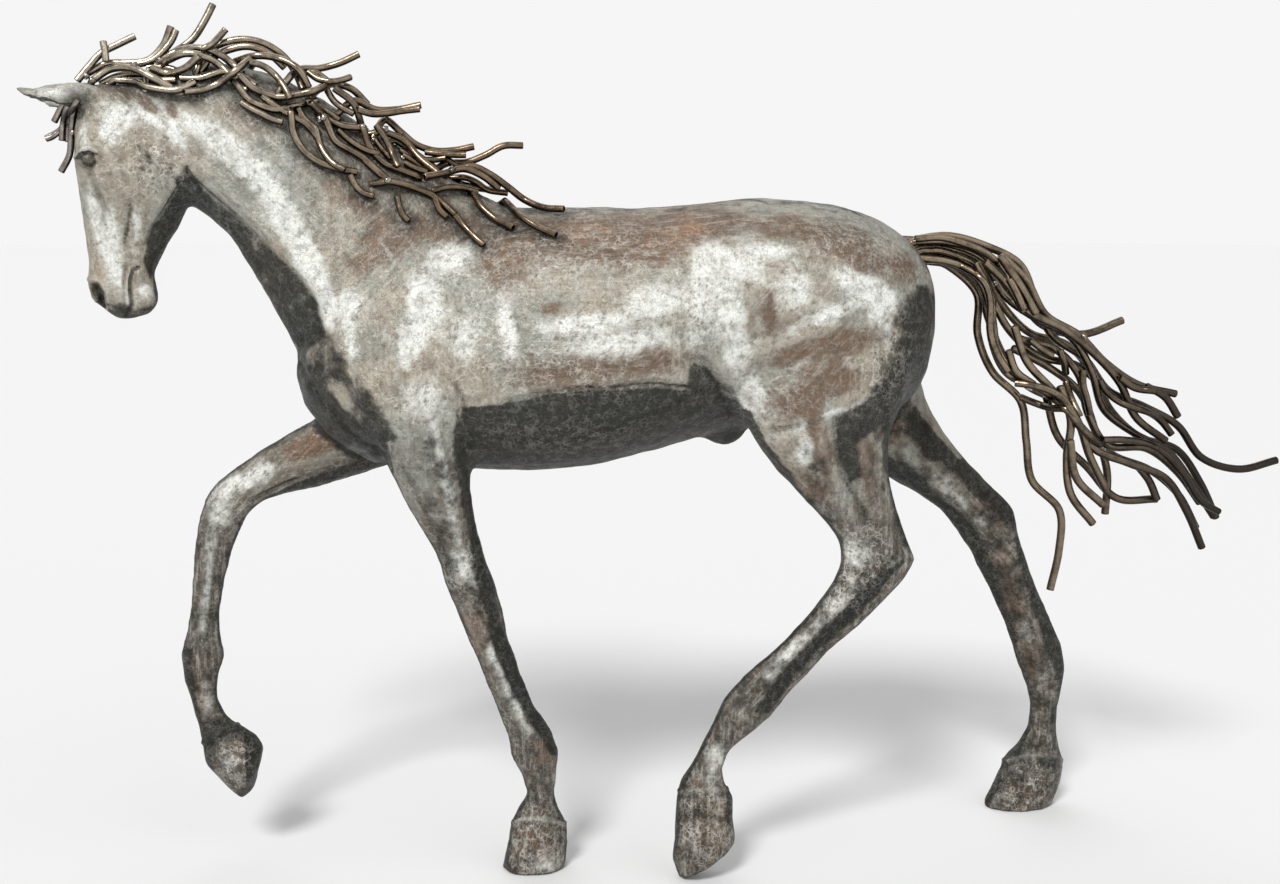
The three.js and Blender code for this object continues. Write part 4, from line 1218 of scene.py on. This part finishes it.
finishes = {
    "forelock_rod": bar_steel("silver_bar", (0.55, 0.50, 0.46, 1), (0.50, 0.44, 0.38, 1), -1.6, -1.3),
    "mane_rod": bar_steel("champagne_bar", (0.66, 0.58, 0.46, 1), (0.27, 0.20, 0.135, 1), -1.4, -0.6),
    "tail_rod": bar_steel("bronze_bar", (0.36, 0.285, 0.20, 1), (0.055, 0.046, 0.039, 1), 0.70, 1.35),
}


def finish_bar(piece, kind):
    """The tops and outer sides of the bars are painted lit, and the rest gets painted shade."""
    piece.data.materials.append(finishes[kind])
    facing_out = vertex_values(piece.data, "normal")
    lit_side = np.abs(facing_out[:, 1]) * 0.8 + facing_out[:, 2] * 0.55
    paint(piece.data, "lit_side", np.clip(lit_side, 0, 1))
    select_only(piece)
    bpy.ops.object.shade_smooth_by_angle(angle=math.radians(40))
    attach(piece, "root")


laid_lines = []
root_ends = []
for name in sorted(frame["nodes"]):
    kind = name[:-3]
    if kind not in bar_radius:
        continue
    line = smooth_line(ring_centres(frame["nodes"][name], bar_radius[kind]), bar_step)
    grown = to_the_skin(line)
    if len(grown) > len(line):
        root_ends.append(grown[-1])
    piece = bar(name.replace("rod", "bar"), grown, bar_radius[kind])
    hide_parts(name)
    finish_bar(piece, kind)
    laid_lines.append((name, grown))

# Thinner filling bars lie between and over the others. Each is drawn on the sheet and laid on
# whatever is behind it; those of the under layer lie on the skin itself.
filling_radius = {"mane": 0.0078, "tail": 0.0092, "forelock": 0.0070}
filling_step = 2.5
mane_over = [
    [(106, 62), (105, 52), (103, 41)],
    [(135, 65), (148, 62), (157, 57), (167, 47), (173, 38), (176, 30)],
    [(203, 49), (212, 44), (219, 37), (226, 29)],
    [(250, 62), (263, 66), (275, 75), (285, 88), (290, 99)],
    [(241, 102), (250, 108), (262, 114), (272, 119), (283, 122)],
    [(308, 72), (318, 79), (330, 81.5), (340, 80.5), (351, 77)],
    [(358, 110), (372, 114), (386, 113.5), (402, 111), (420, 109)],
    [(327, 90), (334, 101), (343, 108), (354, 114)],
    [(298, 108), (303, 117), (310, 124), (317, 129)],
    [(316, 128), (319, 142), (325, 154), (334, 164), (345, 170)],
    [(376, 125), (386, 140), (393, 156), (398, 167)],
    [(425, 152), (440, 154), (455, 155), (466, 155)],
    [(450, 178), (464, 177.5), (476, 182), (488, 190), (508, 193)],
    [(397, 196), (399, 206), (403, 215), (409, 221)],
    [(435, 198), (439, 209), (447, 217)],
    [(455, 215), (466, 228), (475, 237), (484, 245)],
]
mane_under = [
    [(147, 68), (155, 67), (168, 68), (178, 71)],
    [(236, 78), (243, 88), (247, 90)],
    [(305, 70), (316, 73), (325, 79), (333, 86)],
    [(312, 96), (320, 106), (330, 113), (340, 120)],
    [(375, 139), (382, 149), (391, 159)],
    [(385, 118), (394, 126), (402, 135)],
    [(405, 163), (415, 168), (428, 172)],
    [(432, 191), (446, 187.5), (462, 188), (478, 192)],
    [(350, 175), (356, 186), (364, 193), (374, 196)],
    [(364, 160), (372, 167), (380, 174), (389, 181)],
    [(403, 155), (412, 160), (422, 167)],
    [(436, 156), (448, 160), (458, 167)],
    [(262, 96), (276, 106), (292, 116), (306, 124), (318, 138)],
    [(338, 130), (352, 142), (366, 150), (380, 154)],
    [(400, 150), (414, 158), (430, 160), (446, 158)],
    [(180, 78), (200, 78), (222, 72), (240, 76), (256, 86)],
    [(100, 84), (118, 76), (140, 74), (160, 80), (176, 80)],
]
tail_over = [
    [(1066, 382), (1071, 398), (1080, 417)],
    [(1083, 370), (1083, 385), (1087, 400), (1090, 415)],
    [(1030, 340), (1043, 350), (1053, 356)],
    [(1060, 350), (1064, 362), (1066, 374)],
    [(1103, 440), (1125, 440), (1148, 444), (1168, 457), (1185, 477), (1200, 500), (1219, 512)],
    [(1100, 380), (1107, 392), (1120, 402), (1135, 408), (1150, 413), (1162, 422), (1172, 435)],
    [(915, 239), (940, 237.5), (962, 243), (985, 253), (1002, 268), (1015, 290), (1024, 310)],
    [(918, 258), (945, 261), (965, 268), (983, 281), (990, 300), (990, 330), (996, 352), (1008, 372)],
    [(1020, 397), (1035, 403), (1050, 408), (1067, 410), (1078, 425), (1090, 437), (1100, 445)],
    [(1015, 383), (1030, 385), (1048, 390), (1062, 398), (1072, 412), (1080, 425), (1092, 438)],
    [(1120, 378), (1135, 388), (1155, 391)],
]
forelock_over = [
    [(60, 131), (52, 137), (46, 139)],
    [(68, 126), (68, 134), (68, 142)],
    [(78, 100), (73, 108), (68, 117), (67, 128)],
]


def laid_over(drawing, radius, ground):
    """A bar drawn on the sheet, laid as far back along the lines of sight as the ground lets it."""
    places = smooth_line([Vector((u, v, 0)) for u, v in drawing], filling_step)
    lines = [line_of_sight(place) for place in places]
    depths = np.array([-viewpoint.y / line.y for line in lines])
    known = []
    for index, line in enumerate(lines):
        hit = ground.ray_cast(viewpoint, line.normalized())[0]
        if hit is not None:
            depths[index] = (hit - viewpoint).length / line.length - radius * 0.9
            known.append(index)
    if known:
        depths = np.interp(np.arange(len(depths)), known, depths[known])
    reach = 4
    padded = np.pad(depths, reach, mode="edge")
    nearest = np.array([padded[i : i + 2 * reach + 1].min() for i in range(len(depths))])
    padded = np.pad(nearest, reach, mode="edge")
    eased = [padded[i : i + 2 * reach + 1].mean() for i in range(len(depths))]
    return [viewpoint + line * depth for line, depth in zip(lines, eased)]


def joined(name, pieces):
    select_only(pieces[0])
    for piece in pieces:
        piece.select_set(True)
    bpy.ops.object.join()
    pieces[0].name = name
    return pieces[0]


bars = [obj for obj in bpy.context.scene.objects if "_bar_" in obj.name]
mane_bars = [piece for piece in bars if piece.name.startswith("mane")]
tail_bars = [piece for piece in bars if piece.name.startswith("tail")]
over_mane = surface_of(body, *mane_bars)
over_tail = surface_of(*tail_bars)
layers = [
    ("mane_under_bars", "mane", mane_under, skin),
    ("mane_over_bars", "mane", mane_over, over_mane),
    ("tail_over_bars", "tail", tail_over, over_tail),
    ("forelock_over_bars", "forelock", forelock_over, over_mane),
]
for name, tuft, drawings, ground in layers:
    radius = filling_radius[tuft]
    lines = [laid_over(drawing, radius, ground) for drawing in drawings]
    laid_lines += [(name, line) for line in lines]
    group = [bar(f"{name}_{index}", line, radius) for index, line in enumerate(lines)]
    finish_bar(joined(name, group), f"{tuft}_rod")

# The off side of the neck has the like of the near side's lower bars, and no more.
clear_of_crest = 0.035
off_lines = [
    [Vector((point.x, -point.y, point.z)) for point in line]
    for name, line in laid_lines
    if name.startswith("mane_rod") and max(point.y for point in line) < -clear_of_crest
]
radius = bar_radius["mane_rod"]
off_copies = [bar(f"off_{index}", line, radius) for index, line in enumerate(off_lines)]
laid_lines += [("mane_off_side_bars", line) for line in off_lines]
finish_bar(joined("mane_off_side_bars", off_copies), "mane_rod")

# Weld beads: small lumpy blobs where bars meet the skin and each other, left bright.
bead_size = 0.0085
weld_places = [
    (134, 65), (160, 60), (174, 64), (107, 77), (86, 76), (92, 81), (320, 119), (324, 117), (363, 127),
    (385, 129), (397, 165), (403, 158), (375, 141), (436, 191), (388, 180), (73, 132), (995, 283),
    (246, 88), (309, 100), (452, 170), (1084, 337), (1040, 331), (1078, 424), (1104, 448), (1030, 388),
]
over_all = surface_of(body, *bars)
bead_middles = list(root_ends)
for place in weld_places:
    hit = over_all.ray_cast(viewpoint, line_of_sight(place).normalized())[0]
    if hit is not None:
        bead_middles.append(hit)
random.seed(7)
beads = []
for middle in bead_middles:
    bpy.ops.mesh.primitive_ico_sphere_add(subdivisions=2, radius=bead_size)
    bead = bpy.context.object
    for vertex in bead.data.vertices:
        lump = noise.noise(vertex.co * 160 + middle * 40)
        vertex.co *= random.uniform(0.9, 1.1) * (1 + 0.7 * lump)
        vertex.co += middle
    bead.location = (0, 0, 0)
    beads.append(bead)
weld_beads = joined("weld_beads", beads)
weld_beads.data.materials.clear()
weld_beads.data.materials.append(finishes["forelock_rod"])
# The beads are painted lit all round, so they get almost none of the bars' painted shade.
paint(weld_beads.data, "lit_side", np.full(len(weld_beads.data.vertices), 0.75))
select_only(weld_beads)
bpy.ops.object.shade_smooth()
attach(weld_beads, "root")

# Painted shadow: the skin close under the bars is darkened.
bar_shadow_reach = 0.050
bar_shadow_core = 0.012
lowest_bar_shadow = 1.2
line_points = [point for name, line in laid_lines for point in line[::2]]
near_bars = KDTree(len(line_points))
for index, point in enumerate(line_points):
    near_bars.insert(point, index)
near_bars.balance()
points = vertex_values(mesh, "co")
gaps = np.full(len(points), bar_shadow_reach)
for index in np.flatnonzero(points[:, 2] > lowest_bar_shadow):
    gaps[index] = min(bar_shadow_reach, near_bars.find(points[index])[2])
paint(mesh, "bar_shadow", 1 - smoothstep(bar_shadow_core, bar_shadow_reach, gaps))

# Floor and light
# A plain pale floor that runs out of sight, under soft studio light.
bpy.ops.mesh.primitive_circle_add(vertices=96, radius=40, fill_type="NGON")
floor = bpy.context.object
floor.name = "floor"
floor_paint = bpy.data.materials.new("pale_floor")
floor_paint.use_nodes = True
floor_shader = floor_paint.node_tree.nodes["Principled BSDF"]
floor_shader.inputs["Base Color"].default_value = (0.79, 0.79, 0.79, 1)
floor_shader.inputs["Roughness"].default_value = 0.9
floor.data.materials.append(floor_paint)

world = bpy.data.worlds.new("studio")
world.use_nodes = True
background = world.node_tree.nodes["Background"]
background.inputs["Color"].default_value = (1.0, 1.0, 1.0, 1)
world_tree = Tree(world.node_tree)
seen = world_tree.add("ShaderNodeLightPath").outputs["Is Camera Ray"]
light_given = 0.41
brightness_seen = 0.92
strength = world_tree.between(seen, light_given, brightness_seen)
world_tree.feed(background.inputs["Strength"], strength)
bpy.context.scene.world = world
bpy.context.scene.view_settings.view_transform = "Standard"


def soft_sun(name, direction, softness, power):
    bpy.ops.object.light_add(type="SUN", location=(0, 0, 5))
    light = bpy.context.object
    light.name = name
    light.rotation_euler = Vector(direction).to_track_quat("-Z", "Y").to_euler()
    light.data.angle = math.radians(softness)
    light.data.energy = power


soft_sun("key_light", (0.40, 0.72, -0.86), 15, 2.25)
soft_sun("fill_light", (-0.7, 0.6, -0.55), 60, 0.45)
soft_sun("back_light", (0.1, -0.8, -0.8), 60, 0.7)
